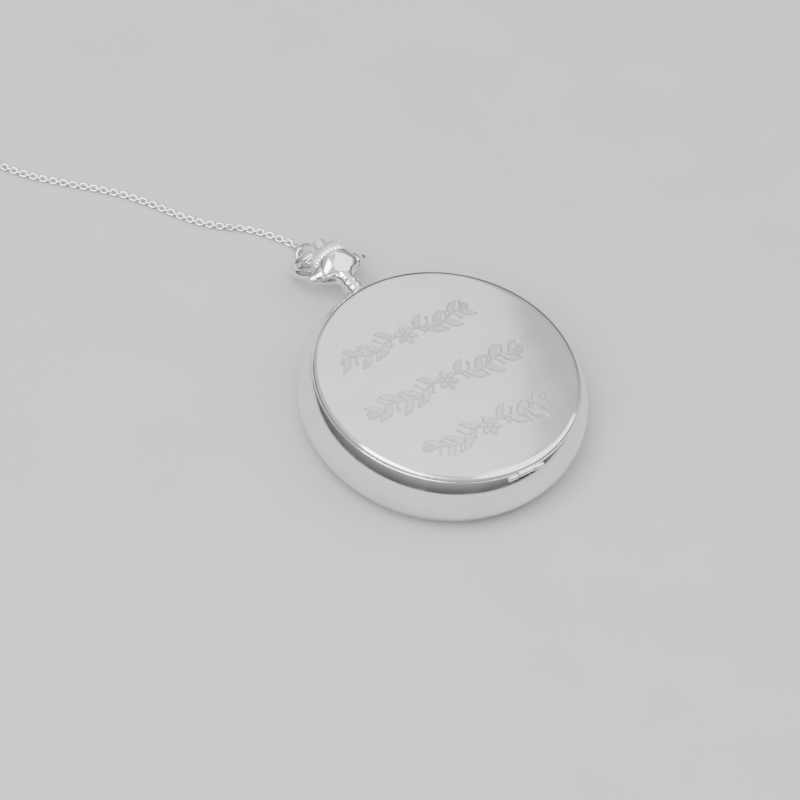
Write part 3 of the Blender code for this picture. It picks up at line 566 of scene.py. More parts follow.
def coil_line():
    """The coiled rest of the chain: two turns side by side, one on top, and the tail to the clasp."""
    cx, cy = COIL_CENTRE
    start = math.degrees(math.atan2(CHAIN_ROUTE[-1][1] - cy, CHAIN_ROUTE[-1][0] - cx))
    stages = [  # (turned degrees, radius, height) between which the line runs smoothly
        (0, 12.8, CHAIN_Z), (45, 10.95, CHAIN_Z), (350, 10.85, CHAIN_Z), (395, 9.2, CHAIN_Z),
        (690, 9.15, CHAIN_Z), (735, 9.3, CHAIN_Z + 1.45), (780, 10.6, STACK_Z), (1080, 10.7, STACK_Z),
        (1130, 9.2, STACK_Z), (1446, 9.0, STACK_Z), (1500, 7.6, CHAIN_Z + 0.1), (1536, 6.95, CHAIN_Z),
    ]
    marks, radii, heights = (np.array(c, float) for c in zip(*stages))
    line = []
    for turned in np.arange(0, marks[-1] + 1, 6.0):
        k = min(int(np.searchsorted(marks, turned, "right")) - 1, len(marks) - 2)
        t = min(1.0, (turned - marks[k]) / (marks[k + 1] - marks[k]))
        t = t * t * (3 - 2 * t)
        radius = radii[k] + (radii[k + 1] - radii[k]) * t
        height = heights[k] + (heights[k + 1] - heights[k]) * t
        a = math.radians(start + turned)
        line.append((cx + radius * math.cos(a), cy + radius * math.sin(a), height))
    eye_x, eye_y, eye_z = SWIVEL_EYE
    tail = [
        line[-1], (cx - 2.5, cy + 6.45, CHAIN_Z), (cx - 4.6, cy + 5.2, CHAIN_Z),
        (cx - 5.7, cy + 3.6, CHAIN_Z),
        (eye_x, eye_y + EYE_R + 0.9, eye_z - 0.2), (eye_x, eye_y + EYE_R, eye_z),
    ]
    return [*line[:-1], *[tuple(p) for p in smooth_line(tail, 0.3)]]


def chain_link(centre, along, up, roll):
    """One link: an oval of round wire, its long side along the chain."""
    along = along.normalized()
    side = up.cross(along).normalized()
    across = side * math.cos(roll) + along.cross(side) * math.sin(roll)
    end = arc_points((LINK_STRAIGHT, 0), LINK_END_R, -90, 90, 8)
    ring = end + [(-x, -y) for x, y in end]
    points = [centre + along * x + across * y for x, y in ring]
    return swept(points, LINK_WIRE_R, 8, closed=True, up=along.cross(across))


GATE_PIVOT = (CLASP_AT[0] - 2.4, CLASP_AT[1] + 1.8)
CLASP_BODY = [  # (x from the clasp's origin, half-width, half-thickness)
    (-4.62, 0.62, 0.5), (-4.55, 0.85, 0.62), (-4.3, 1.25, 0.72), (-3.9, 1.85, 0.8), (-3.4, 2.35, 0.84),
    (-2.8, 2.62, 0.86), (-2.2, 2.7, 0.86), (-1.75, 2.68, 0.85), (-1.58, 2.62, 0.8), (-1.5, 2.5, 0.7),
]


ON_CLASP = turn_z_to("X", CLASP_AT)
AT_PIN = shift(*GATE_PIVOT, 0)
PIN_BORE = lathe([(0, -1), (0.23, -1), (0.23, 3), (0, 3)], 24)


def make_swivel_eye():
    x, y, z = SWIVEL_EYE
    line = [(x + dx, y + dy, z) for dx, dy in circle(EYE_R, 64)]
    barrel = [(0.45, -5.62), (0.7, -5.62, 0.08), (0.9, -5.45, 0.1), (0.74, -5.2, 0.1), (0.9, -4.95, 0.1),
              (0.7, -4.78, 0.06), (0.45, -4.78)]
    form = Form().add(swept(line, 0.24, 16, closed=True)).add(lathe(rounded(barrel, 4), 48), ON_CLASP)
    return place(form.make("swivel_eye", LINK_SILVER, 40), "case", "chain_silver", "swivel_ring")


def make_clasp_shell():
    x0, y0, z0 = CLASP_AT
    turns = [TAU * k / 72 for k in range(72)]

    def boxy(value):
        return math.copysign(abs(value) ** 0.45, value)

    rings = [[(x0 + x, y0 + wide * boxy(math.cos(a)), z0 + deep * boxy(math.sin(a))) for a in turns]
             for x, wide, deep in CLASP_BODY]
    shell = Form().add(loft(rings)).make("clasp_shell", LINK_SILVER, 40)
    px, py = GATE_PIVOT
    slot = [(px - 0.8, py - 1.2), (px + 2.0, py - 1.2), (px + 2.0, py + 1.6), (px - 0.8, py + 1.6)]
    carve(shell, Form().add(prism(slot, z0 - 0.32, z0 + 0.32)), Form().add(PIN_BORE, AT_PIN))
    hook = [(-2.1, -1.8), (1.5, -1.8)]
    hook += arc_points((4.5, 0), 1.8, -90, 90, 15)
    hook.append((2.75, 1.8))
    line = smooth_line([(x0 + x, y0 + y, z0) for x, y in hook], 0.2)
    radii = [0.65 - 0.15 * max(0.0, k / (len(line) - 1) - 0.5) * 2 for k in range(len(line))]
    radii[-2:] = [0.44, 0.3]
    neck = rounded([(0, -5.56), (0.4, -5.56, 0.05), (0.4, -4.5), (0, -4.5)], 3)
    rest = Form().add(swept(line, radii, 20)).add(lathe(neck, 48), ON_CLASP)
    hook_piece = place(rest.make("clasp_hook", LINK_SILVER, 40), "clasp", "chain_silver")
    smooth(shell, 40)
    return [place(shell, "clasp", "chain_silver", "clasp_body"), hook_piece]


def make_clasp_gate():
    px, py = GATE_PIVOT
    low, high = CLASP_AT[2] - 0.27, CLASP_AT[2] + 0.27
    outline = arc_points((px, py), 0.66, 38, 322, 24)
    lever = [
        (0.9, -0.36), (4.3, -0.28), (4.75, -0.24), (4.9, -0.1), (4.9, 0.2), (4.7, 0.34), (4.1, 0.36),
        (3.5, 0.52), (2.9, 0.6), (2.3, 0.52), (1.7, 0.36), (0.9, 0.36),
    ]
    outline += [(px + x, py + y) for x, y in lever]
    gate = Form().add(prism(outline, low, high, 0.07)).make("clasp_lever", LINK_SILVER, 40)
    carve(gate, Form().add(PIN_BORE, AT_PIN))
    smooth(gate, 40)
    place(gate, "gate", "chain_silver", "clasp_gate")
    rivet = [
        (0, 0.07), (0.3, 0.08, 0.05), (0.38, 0.2, 0.02), (0.2, 0.2), (0.2, 1.8), (0.38, 1.8, 0.02),
        (0.3, 1.92, 0.05), (0, 1.93),
    ]
    pin = Form().add(lathe(rounded(rivet, 3), 32), AT_PIN)
    pin = place(pin.make("clasp_rivet", MATERIALS["spring_steel"], 40), "clasp", "spring_steel", "clasp_pin")
    return [gate, pin]


CHAIN_START = [(0.0, 39.7, 1.5), (0.1, 40.4, 1.1)]
LINK_ROLL = 45


def make_chain():
    run = smooth_line([*CHAIN_START, *[(x, y, CHAIN_Z) for x, y in CHAIN_ROUTE]], 0.4)
    whole = [*run[:-1], *[Vector(p) for p in coil_line()]]
    centres = evenly(whole, LINK_PITCH)
    form = Form()
    last = len(centres) - 1
    for k in range(1, last + 1):
        along = centres[min(k + 1, last)] - centres[k - 1]
        roll = math.radians(LINK_ROLL if k % 2 else -LINK_ROLL)
        form.add(chain_link(centres[k], along, Vector((0, 0, 1)), roll))
    chain = form.make("chain", LINK_SILVER, 60)
    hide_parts("chain_run", "chain_coil")
    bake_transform(chain)
    make_swivel_eye()
    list(make_clasp_shell())
    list(make_clasp_gate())


make_chain()


# --- case ---


def band_radius(z):
    return BAND_R - BAND_BULGE * ((z - BAND_MID_Z) / 5.0) ** 2


def sector(inner, outer, start, end, low, high):
    """A curved block between two radii and two angles."""
    outline = arc_points((0, 0), outer, start, end, 40) + arc_points((0, 0), inner, end, start, 40)
    return prism(outline, low, high)


def rod(radius, low, high, axis, at=(0, 0, 0), bevel=0.05, steps=40):
    outline = rounded([(0, low), (radius, low, bevel), (radius, high, bevel), (0, high)], 3)
    verts, faces = lathe(outline, steps)
    matrix = turn_z_to(axis, at)
    return [matrix @ Vector(v) for v in verts], faces


def make_mid_case():
    low, high = BAND_Z
    count = 40
    heights = [high - (high - low) * k / count for k in range(count + 1)]
    outer = [(band_radius(z), z, 0) for z in heights]
    outer[0] = (outer[0][0], outer[0][1], 0.12)
    outer[-1] = (outer[-1][0], outer[-1][1], 0.1)
    inner = [
        (19.6, low, 0.08), (19.6, 3.6, 0), (18.6, 3.6, 0.05), (18.6, 8.9, 0.05),
        (20.5, 8.9, 0), (20.5, 10.4, 0.06), (21.3, 10.4, 0), (21.3, high, 0.1),
    ]
    case = Form().add(lathe(rounded([*outer, *inner], 4), CASE_STEPS)).make("mid_case_shell", SILVER, 35)
    cutters = [
        Form().add(rod(0.62, -1.58, 1.58, "X", HINGE, 0)),
        Form().add(rod(2.1, 17.0, 25.0, "Y", (0, 0, STEM_Z), 0, 64)),
        Form().add(sector(19.8, 21.25, 91.5, 156.5, 4.6, 10.55)),
        Form().add(sector(19.8, 21.25, 197.5, 264.0, 5.8, 10.55)),
    ]
    carve(case, *cutters)
    smooth(case, 35)
    place(case, "case", "polished_silver", "mid_case")
    knuckles = Form()
    for side in (-1, 1):
        a, b = sorted(side * x for x in CASE_KNUCKLE_X)
        knuckles.add(rod(KNUCKLE_R, a, b, "X", HINGE, 0.07))
    place(knuckles.make("case_knuckles", SILVER, 35), "case", "polished_silver")
    pin = Form().add(rod(0.2, -3.44, 3.44, "X", HINGE, 0.06))
    place(pin.make("hinge_rod", MATERIALS["spring_steel"], 35), "case", "spring_steel", "hinge_pin")


def make_case_back():
    turns = [math.pi / 2 * k / 24 for k in range(24, -1, -1)]
    edge = [(15 + 6.55 * math.sin(a), 1.45 * (1 - math.cos(a)), 0) for a in turns]
    edge[0] = (edge[0][0], edge[0][1], 0.06)
    hollow = [(0, 0.9), (14.5, 0.9), (18.6, 1.6), (18.6, 3.2), (19.45, 3.2), (19.45, 1.45)]
    outline = rounded([*hollow, *edge, (0, 0)], 3)
    back = Form().add(lathe(outline, CASE_STEPS)).make("back_cover", SILVER, 30)
    place(back, "case", "polished_silver", "case_back")


make_mid_case()
make_case_back()


# --- lid and its engraving ---

GRID = 0.11
ENGRAVE_DEPTH = 0.045
LID_JOIN_R = 17.3
LID_WALL = 0.6
PEN_SLANT = 35
WAVE_LENGTH, WAVE_HEIGHT = 8.2, 0.55
# Each garland's (left end, right end, y, height)
GARLANDS = ((-14.6, 10.7, 9.2, 6.2), (-16.5, 13.5, -1.8, 6.2), (-12.5, 11.3, -12.4, 5.8))


def curve(points):
    return [tuple(p[:2]) for p in smooth_line([(x, y, 0) for x, y in points], 0.2)]


def pen_stroke(points, thin, thick):
    """A stroke that swells along its length and with the slant of a broad pen; gives half widths."""
    pts = np.array(points, float)
    heading = np.arctan2(*np.diff(pts, axis=0).T[::-1])
    share = (np.arange(len(pts) - 1) + 0.5) / (len(pts) - 1)
    pen = np.abs(np.sin(heading - math.radians(PEN_SLANT)))
    return points, (thin + (thick - thin) * np.sin(np.pi * share) ** 0.7 * (0.4 + 0.6 * pen)) / 2


def leaf(base, heading, length, width, bend):
    """A pointed leaf that curves by the bend, in degrees, from its base to its tip."""
    points, at, count = [base], base, 14
    for k in range(count):
        a = math.radians(heading + bend * (k + 0.5) / count)
        at = (at[0] + length / count * math.cos(a), at[1] + length / count * math.sin(a))
        points.append(at)
    share = (np.arange(count) + 0.5) / count
    return points, width / 2 * np.sin(np.pi * share**0.8) ** 0.9 + 0.02


def scroll(centre, radius, start, turns, hand):
    """A tendril that winds in from its rim to a bead."""
    count = int(30 * turns)
    points = []
    for k in range(count + 1):
        t = k / count
        a = math.radians(start) + hand * TAU * turns * t
        r = radius * (1 - t) ** 0.8 + 0.12
        points.append((centre[0] + r * math.cos(a), centre[1] + r * math.sin(a)))
    share = (np.arange(count) + 0.5) / count
    return points, 0.14 + 0.16 * share


def bead(x, y, radius):
    return [(x, y), (x + 0.01, y)], np.array([radius])


def spray(x0, y0, length, hand, height):
    """Half a garland: a waving stem from the middle out, with leaves in pairs, tendrils and berries."""
    def stem_y(d):
        return y0 + WAVE_HEIGHT * math.sin(TAU * d / WAVE_LENGTH)

    stem = [(x0 + hand * d, stem_y(d)) for d in np.arange(0.8, length - 0.6, 0.2)]
    lines = [pen_stroke(stem, 0.34, 0.56)]
    d, side = 2.3, 1
    while d < length - 1.6:
        x = x0 + hand * d
        size = (0.82 + 0.18 * math.sin(math.pi * d / length)) * height / 6.0
        heading = 62 * side if hand > 0 else 180 - 62 * side
        lines.append(leaf((x, stem_y(d)), heading, 3.15 * size, 1.2 * size, -38 * side * hand))
        tip = (x + hand * 1.05, stem_y(d) - side * 1.5 * size)
        lines.append(bead(*tip, 0.3 * size))
        twig = curve([(x + hand * 0.1, stem_y(d)), (x + hand * 0.7, stem_y(d) - side * 0.75), tip])
        lines.append((twig, np.full(len(twig) - 1, 0.1)))
        d, side = d + 1.72, -side
    end = (x0 + hand * (length - 0.7), stem_y(length - 0.6))
    lines.append(scroll((end[0], end[1] + 0.75), 0.72, -90, 1.2, hand))
    return lines


def rosette(x, y, radius):
    lines = [bead(x, y, radius * 0.26)]
    for k in range(6):
        heading = 60 * k + 30
        a = math.radians(heading)
        base = (x + radius * 0.34 * math.cos(a), y + radius * 0.34 * math.sin(a))
        lines.append(leaf(base, heading, radius * 0.72, radius * 0.56, 0))
    return lines


def engraving_lines():
    """Three garlands across the lid, each a rosette with a spray to either side."""
    lines = []
    for left, right, y, height in GARLANDS:
        middle, half = (left + right) / 2, (right - left) / 2
        lines += rosette(middle, y, 1.75)
        lines += spray(middle, y, half, 1, height) + spray(middle, y, half, -1, height)
    return lines


def stamp_lines(xs, ys, lines):
    """How far each grid point lies inside the nearest engraved line, in millimetres; negative is outside."""
    depth = np.full((len(xs), len(ys)), -1.0)
    for points, half in lines:
        for (x0, y0), (x1, y1), w in zip(points[:-1], points[1:], half):
            reach = w + 0.4
            i0, i1 = np.searchsorted(xs, (min(x0, x1) - reach, max(x0, x1) + reach))
            j0, j1 = np.searchsorted(ys, (min(y0, y1) - reach, max(y0, y1) + reach))
            if i0 >= i1 or j0 >= j1:
                continue
            gx, gy = np.meshgrid(xs[i0:i1], ys[j0:j1], indexing="ij")
            dx, dy = x1 - x0, y1 - y0
            t = np.clip(((gx - x0) * dx + (gy - y0) * dy) / max(dx * dx + dy * dy, 1e-9), 0, 1)
            inside = w - np.hypot(gx - x0 - t * dx, gy - y0 - t * dy)
            patch = depth[i0:i1, j0:j1]
            np.maximum(patch, inside, out=patch)
    return depth


def lid_height(r):
    return LID_TOP - LID_DOME * (r / LID_DOME_R) ** 2


def make_lid():
    """The lid's turned shell, with a fine grid let into its top for the engraving."""
    dome = [LID_JOIN_R + (LID_DOME_R - LID_JOIN_R) * k / 8 for k in range(9)]
    outline = [(r, lid_height(r), 0) for r in dome]
    outline += [
        (20.95, 12.02, 0.25), (21.42, 11.82, 0.12), (21.6, 11.62, 0.08), (21.6, 11.45, 0.05),
        (21.05, 11.45, 0.0), (21.05, 10.65, 0.1), (20.6, 10.65, 0.1), (20.55, 11.2, 0.2),
    ]
    for r in np.linspace(20.2, 0.0, 24):
        outline.append((r, LID_TOP - LID_WALL - LID_DOME * (r / LID_DOME_R) ** 2, 0))
    form = Form().add(lathe(rounded(outline, 4), CASE_STEPS, closed=False))
    xs = np.arange(-LID_JOIN_R, LID_JOIN_R + GRID / 2, GRID)
    inside = stamp_lines(xs, xs, engraving_lines())
    etched = np.clip(inside / 0.06 + 0.5, 0, 1)
    sunk = ENGRAVE_DEPTH * np.clip(inside / 0.16 + 0.3, 0, 1)
    gx, gy = np.meshgrid(xs, xs, indexing="ij")
    r = np.hypot(gx, gy)
    keep = r < LID_JOIN_R - GRID
    index = -np.ones(r.shape, int)
    index[keep] = np.arange(int(keep.sum()))
    z = lid_height(r) - sunk
    verts = [tuple(v) for v in np.stack([gx[keep], gy[keep], z[keep]], 1)]
    ok = keep[:-1, :-1] & keep[1:, :-1] & keep[1:, 1:] & keep[:-1, 1:]
    corners = (index[:-1, :-1], index[1:, :-1], index[1:, 1:], index[:-1, 1:])
    quads = np.stack([corner[ok] for corner in corners], 1)
    base = len(form.verts)
    form.add((verts, [tuple(q) for q in quads]))
    mesh = bpy.data.meshes.new("lid_cover")
    mesh.from_pydata([tuple(v * MM) for v in form.verts], [], form.faces)
    # Painted shade mask for the strokes' edges, strongest just inside each stroke's outline.
    rim = np.exp(-((inside[keep] - 0.03) / 0.11) ** 2)
    for name, grid_values in (("etched", etched[keep]), ("etch_rim", rim)):
        values = np.zeros(len(form.verts), np.float32)
        values[base:] = grid_values
        mesh.attributes.new(name, "FLOAT", "POINT").data.foreach_set("value", values)
    close_gap(mesh)
    mesh.materials.append(LID_SILVER)
    lid = bpy.data.objects.new("lid_cover", mesh)
    bpy.context.scene.collection.objects.link(lid)
    smooth(lid, 40)
    place(lid, "lid", "polished_silver", "lid")


def close_gap(mesh):
    """Joins the grid's ragged rim to the turned shell's first ring with triangles."""
    bm = bmesh.new()
    bm.from_mesh(mesh)
    bmesh.ops.delete(bm, geom=[v for v in bm.verts if not v.link_faces], context="VERTS")
    rims = [e for e in bm.edges if e.is_boundary]
    bmesh.ops.triangle_fill(bm, edges=rims, use_beauty=True)
    bmesh.ops.recalc_face_normals(bm, faces=bm.faces)
    bm.to_mesh(mesh)
    bm.free()


def make_lid_hinge():
    x = LID_KNUCKLE_X
    form = Form().add(rod(KNUCKLE_R, -x, x, "X", HINGE, 0.07))
    tab = [(-21.98, 11.2), (-21.42, 11.2), (-21.42, 11.6), (-21.7, 11.6), (-21.95, 11.4)]
    verts, faces = prism(tab, -x + 0.02, x - 0.02)
    form.add(([(z, x, y) for x, y, z in verts], faces))
    place(form.make("lid_knuckle", SILVER, 35), "lid", "polished_silver")


make_lid()
make_lid_hinge()


# --- bezel, crystal, dial and hands ---

DIAL_TOP = 8.7
DIAL_R = 18.3
PRINT = 0.03
MINUTE_MARK_R = 16.55
MINUTE_RINGS = ((15.98, 16.06), (17.04, 17.12))
NUMERAL_HEIGHT = 3.3
NUMERAL_R = 13.6


def make_bezel_and_crystal():
    outline = [
        (18.45, 10.95, 0.1), (18.9, 10.95, 0.3), (19.9, 10.7, 0.6), (20.3, 10.15, 0.3), (20.3, 8.96, 0.05),
        (17.4, 8.96, 0.05), (17.4, 9.5, 0.3), (18.1, 9.8, 0.1), (18.45, 9.8, 0.0),
    ]
    bezel = Form().add(lathe(rounded(outline, 5), CASE_STEPS)).make("bezel_ring", SILVER, 35)
    place(bezel, "case", "polished_silver", "bezel")
    top = [(DIAL_R * k / 24, 10.82 - 0.27 * (k / 24) ** 2, 0) for k in range(24)]
    dome = rounded([*top, (DIAL_R, 10.5, 0.12), (DIAL_R, 9.86, 0.03), (0, 9.86, 0)], 3)
    crystal = Form().add(lathe(dome, DIAL_STEPS)).make("crystal_dome", MATERIALS["crystal_glass"], 40)
    place(crystal, "case", "crystal_glass", "crystal")


def print_shape(outline):
    return prism(outline, DIAL_TOP - 0.02, DIAL_TOP + PRINT)


def turned_outline(outline, clock_deg, radius):
    """An outline drawn upright about the origin, moved out to a clock place with its foot inward."""
    c, s = math.cos(math.radians(-clock_deg)), math.sin(math.radians(-clock_deg))
    return [(x * c - (y + radius) * s, x * s + (y + radius) * c) for x, y in outline]


def numeral(marks, height):
    """Upright Roman strokes: thick and thin bars with serifs, centred on the origin."""
    thick, thin, gap = height * 0.19, height * 0.07, height * 0.16
    widths = {"I": thick, "V": height * 0.62, "X": height * 0.62}
    total = sum(widths[m] for m in marks) + gap * (len(marks) - 1)
    shapes, x = [], -total / 2
    low, high = -height / 2, height / 2
    for mark in marks:
        w = widths[mark]
        if mark == "I":
            shapes.append([(x, low), (x + w, low), (x + w, high), (x, high)])
        if mark in "VX":
            foot = x + w / 2 - thick / 2 if mark == "V" else x + w - thick
            shapes.append([(foot, low), (foot + thick, low), (x + thick, high), (x, high)])
            foot = x + w / 2 - thin / 2 if mark == "V" else x
            shapes.append([(foot, low), (foot + thin, low), (x + w, high), (x + w - thin, high)])
        x += w + gap
    serif, end = height * 0.045, total / 2 + gap * 0.5
    for y in (low, high - serif):
        shapes.append([(-end, y), (end, y), (end, y + serif), (-end, y + serif)])
    return shapes


HOUR_MARKS = ["XII", "I", "II", "III", "IIII", "V", "VI", "VII", "VIII", "IX", "X", "XI"]


def make_dial():
    outline = rounded([(0.95, DIAL_TOP, 0.05), (DIAL_R, DIAL_TOP, 0.08), (DIAL_R, 8.3), (0.95, 8.3)], 3)
    dial = Form().add(lathe(outline, DIAL_STEPS)).make("dial_face", MATERIALS["dial_white"], 35)
    place(dial, "case", "dial_white", "dial")
    ink = Form()
    for k in range(60):
        hour = k % 5 == 0
        w = 0.16 if hour else 0.06
        bar = [(-w, -0.5), (w, -0.5), (w, 0.5), (-w, 0.5)]
        ink.add(print_shape(turned_outline(bar, k * 6, MINUTE_MARK_R)))
    low, high = DIAL_TOP - 0.02, DIAL_TOP + PRINT
    for inner, outer in MINUTE_RINGS:
        ink.add(lathe([(inner, low), (outer, low), (outer, high), (inner, high)], DIAL_STEPS))
    for k, marks in enumerate(HOUR_MARKS):
        for shape in numeral(marks, NUMERAL_HEIGHT):
            ink.add(print_shape(turned_outline(shape, k * 30, NUMERAL_R)))
    printed = ink.make("dial_numerals", MATERIALS["hand_black"], 30)
    place(printed, "case", "hand_black")


def hand_blade(widths, low, high):
    """A blade along the line to twelve, from its (y, half-width) pairs."""
    outline = [(w, y) for y, w in widths] + [(-w, y) for y, w in reversed(widths)]
    return prism(outline, low, high, min(0.05, (high - low) * 0.4))


HOUR_BLADE = [
    (1.0, 0.30), (5.2, 0.16), (5.5, 0.22), (5.9, 0.62), (6.5, 1.02), (7.1, 0.86), (7.7, 0.42), (8.3, 0.2),
    (9.6, 0.03),
]
MINUTE_BLADE = [
    (0.6, 0.24), (9.0, 0.15), (9.4, 0.2), (9.9, 0.52), (10.5, 0.78), (11.2, 0.6), (12.0, 0.24), (12.8, 0.12),
    (14.4, 0.03),
]
SECOND_BLADE = [(0.3, 0.09), (15.4, 0.03)]
HOUR_TAIL = [(-2.2, 0.1), (-1.9, 0.3), (-1.0, 0.2)]
MINUTE_TAIL = [(-3.0, 0.08), (-2.5, 0.32), (-0.6, 0.2)]
SECOND_TAIL = [(-4.2, 0.14), (-3.6, 0.3), (-2.4, 0.12), (-0.3, 0.09)]
HANDS = [  # (piece, body, node, degrees from twelve, hub radius, hole, lower face, upper face, blade, tail)
    ("hour_spade", "hours", "hour_hand", 304.2, 1.25, 0.8, 8.93, 9.08, HOUR_BLADE, HOUR_TAIL),
    ("minute_spade", "minutes", "minute_hand", 50.4, 0.95, 0.44, 9.22, 9.37, MINUTE_BLADE, MINUTE_TAIL),
    ("second_needle", "seconds", "second_hand", 144.0, 0.6, 0.16, 9.54, 9.64, SECOND_BLADE, SECOND_TAIL),
]


def make_hands():
    for name, body, node, degrees, radius, hole, low, high, blade, tail in HANDS:
        turn = Matrix.Rotation(math.radians(-degrees), 4, "Z")
        hub = rounded([(hole, low), (radius, low, 0.02), (radius, high, 0.05), (hole, high, 0.02)], 3)
        form = Form().add(lathe(hub, 64), turn)
        for widths in (blade, tail):
            form.add(hand_blade(widths, low + 0.01, high - 0.01), turn)
        place(form.make(name, MATERIALS["hand_black"], 30), body, "hand_black", node)


make_bezel_and_crystal()
make_dial()
make_hands()


# --- pendant, crown, button, bow ---

ON_STEM = turn_z_to("Y", (0, 0, STEM_Z))
STEM_STEPS = 96
EAR_FACE_X = 3.2
EAR_FACE_R = 1.56
HEAD_SIDE_X = EAR_FACE_X - 0.04
HEAD_BACK = [  # (y, half-depth along Z), from the neck up to the crown
    (27.32, 1.42), (27.7, 1.47), (28.1, 1.55), (28.5, 1.68), (28.9, 1.86), (29.3, 2.08), (29.7, 2.34),
    (30.1, 2.58), (30.5, 2.78), (30.9, 2.93), (31.3, 3.03), (31.6, 3.08), (31.74, 3.07), (31.82, 3.0),
]
HEAD_THROAT = [(27.32, 1.42), (27.7, 1.5), (28.1, 1.75), (28.45, 2.3), (28.74, 3.16)]  # (y, half-width)


def head_half_width(y, deep):
    """The head's section is cut flat at its sides, where it carries on into the round ears."""
    if y <= HEAD_THROAT[-1][0]:
        return float(np.interp(y, *zip(*HEAD_THROAT)))
    ear = math.sqrt(max(0.0, EAR_FACE_R**2 - (y - BOW_Y) ** 2))
    return HEAD_SIDE_X / math.sqrt(1 - (ear / deep) ** 2)


def make_pendant():
    ribs = []
    for k in range(3):
        top = 27.1 - 1.15 * k
        ribs += [(1.33, top, 0.12), (1.62, top - 0.32, 0.16), (1.62, top - 0.8, 0.16)]
    neck = [
        (1.0, 27.4, 0.0), (1.42, 27.4, 0.05), *ribs, (1.5, 24.2, 0.2), (2.25, 23.72, 0.15),
        (2.5, 23.42, 0.05), (2.05, 23.42, 0.0), (2.05, 22.95, 0.0), (1.0, 22.95, 0.0),
    ]
    back = smooth_line([(y, deep, 0) for y, deep in HEAD_BACK], 0.06)
    levels = [(y, head_half_width(y, deep), deep) for y, deep, _ in back]
    levels += [(31.84, 2.6, 2.6), (31.84, 1.02, 1.02), (27.32, 1.02, 1.02)]
    turns = [TAU * k / 160 for k in range(160)]
    rings = []
    for y, wide, deep in levels:
        across = [min(HEAD_SIDE_X, max(-HEAD_SIDE_X, wide * math.cos(a))) for a in turns]
        rings.append([(x, y, STEM_Z + deep * math.sin(a)) for x, a in zip(across, turns)])
    tube = Form().add(lathe(rounded(neck, 6), STEM_STEPS), ON_STEM).add(loft(rings, closed=True))
    place(tube.make("pendant_neck", SILVER, 40), "case", "polished_silver", "pendant_tube")


CROWN_RIDGES, RIDGE_STEPS, RIDGE_DEPTH = 28, 10, 0.26
CROWN_PROFILE = [  # (radius, y, share of the ridges' depth)
    (0.96, 31.92, 0), (2.7, 31.92, 0), (2.98, 31.97, 0.6), (3.12, 32.12, 1), (3.19, 32.3, 1), (3.19, 33.4, 1),
    (3.13, 33.62, 1), (2.92, 33.78, 0.5), (2.6, 33.86, 0), (2.1, 33.88, 0), (1.52, 33.84, 0),
    (1.52, 32.98, 0), (0.96, 32.98, 0),
]


def make_crown():
    steps = CROWN_RIDGES * RIDGE_STEPS
    rings = []
    for r, y, share in CROWN_PROFILE:
        ring = []
        for k in range(steps):
            wave = (k % RIDGE_STEPS) / RIDGE_STEPS
            dip = (0.5 - 0.5 * math.cos(TAU * wave)) ** 2.6
            radius = r - RIDGE_DEPTH * share * dip
            a = TAU * k / steps
            ring.append((radius * math.cos(a), radius * math.sin(a), y))
        rings.append(ring)
    # The crown wears the brighter silver, a painted highlight.
    crown = Form().add(loft(rings, closed=True), ON_STEM).make("crown_knurled", CROWN_SILVER_PAINTED_HIGHLIGHT, 40)
    place(crown, "crown", "polished_silver", "crown")


def make_button():
    outline = [
        (0, 36.3), (0.8, 36.27, 1.0), (1.42, 36.1, 0.2), (1.42, 33.55, 0.05), (0.56, 33.55), (0.56, 31.0),
        (0.3, 31.0), (0.3, 21.8), (0, 21.8),
    ]
    # The button wears the brighter silver, a painted highlight.
    button = Form().add(lathe(rounded(outline, 6), STEM_STEPS), ON_STEM).make("button_cap", CROWN_SILVER_PAINTED_HIGHLIGHT, 40)
    place(button, "button", "polished_silver", "push_button")


BOW_DROOP = math.asin((STEM_Z - BOW_APEX_Z) / BOW_LENGTH)
AT_BOW = shift(0, BOW_Y, STEM_Z)
BOW_FRAME = AT_BOW @ Matrix.Rotation(-BOW_DROOP, 4, "X")
BOW_FOOT_R = 0.62
BOW_ARCH_Y = 4.1


def make_bow():
    shoulder = [(4.0, 0.1), (4.05, 1.1), (4.45, 2.2), (4.85, 3.2)]
    turns = [math.pi * k / 16 for k in range(17)]
    rise = BOW_LENGTH - BOW_ARCH_Y
    arch = [(BOW_HALF_WIDTH * math.cos(a), BOW_ARCH_Y + rise * math.sin(a)) for a in turns]
    line = shoulder + arch + [(-x, y) for x, y in reversed(shoulder)]
    line = smooth_line([(x, y, 0) for x, y in line], 0.25)
    count = len(line) - 1
    swell = [min(1.0, min(k, count - k) / count * 7) for k in range(count + 1)]
    radii = [BOW_FOOT_R + (BOW_WIRE_R - BOW_FOOT_R) * out for out in swell]
    form = Form().add(swept(line, radii, 24), BOW_FRAME)
    ear = [(0.46, EAR_FACE_X), (EAR_FACE_R, EAR_FACE_X, 0.03), (1.42, 3.75, 0.8)]
    ear += [(0.84, 4.6, 0.03), (0.46, 4.6)]
    for side in (-1, 1):
        form.add(sideways(lathe(rounded(ear, 6), 64), side), BOW_FRAME)
    bow = form.make("bow_stirrup", SILVER, 40)
    place(bow, "bow", "polished_silver", "bow")
    head = [
        (0, 5.5), (0.42, 5.47, 0.16), (0.81, 4.66, 0.04), (0.81, 4.63, 0.02), (0.38, 4.63),
        (0.38, 1.5), (0, 1.5),
    ]
    for side, name in ((-1, "left"), (1, "right")):
        screw = Form().add(sideways(lathe(rounded(head, 4), 48), side), AT_BOW)
        piece = screw.make("bow_screw_head_" + name, SILVER, 35)
        slot = [(side * 5.36, -0.07), (side * 5.7, -0.07), (side * 5.7, 0.07), (side * 5.36, 0.07)]
        carve(piece, Form().add(prism(slot, -1, 1), AT_BOW))
        smooth(piece, 35)
        place(piece, "case", "spring_steel", "bow_screw_" + name)


JUMP_RING_R = 1.75


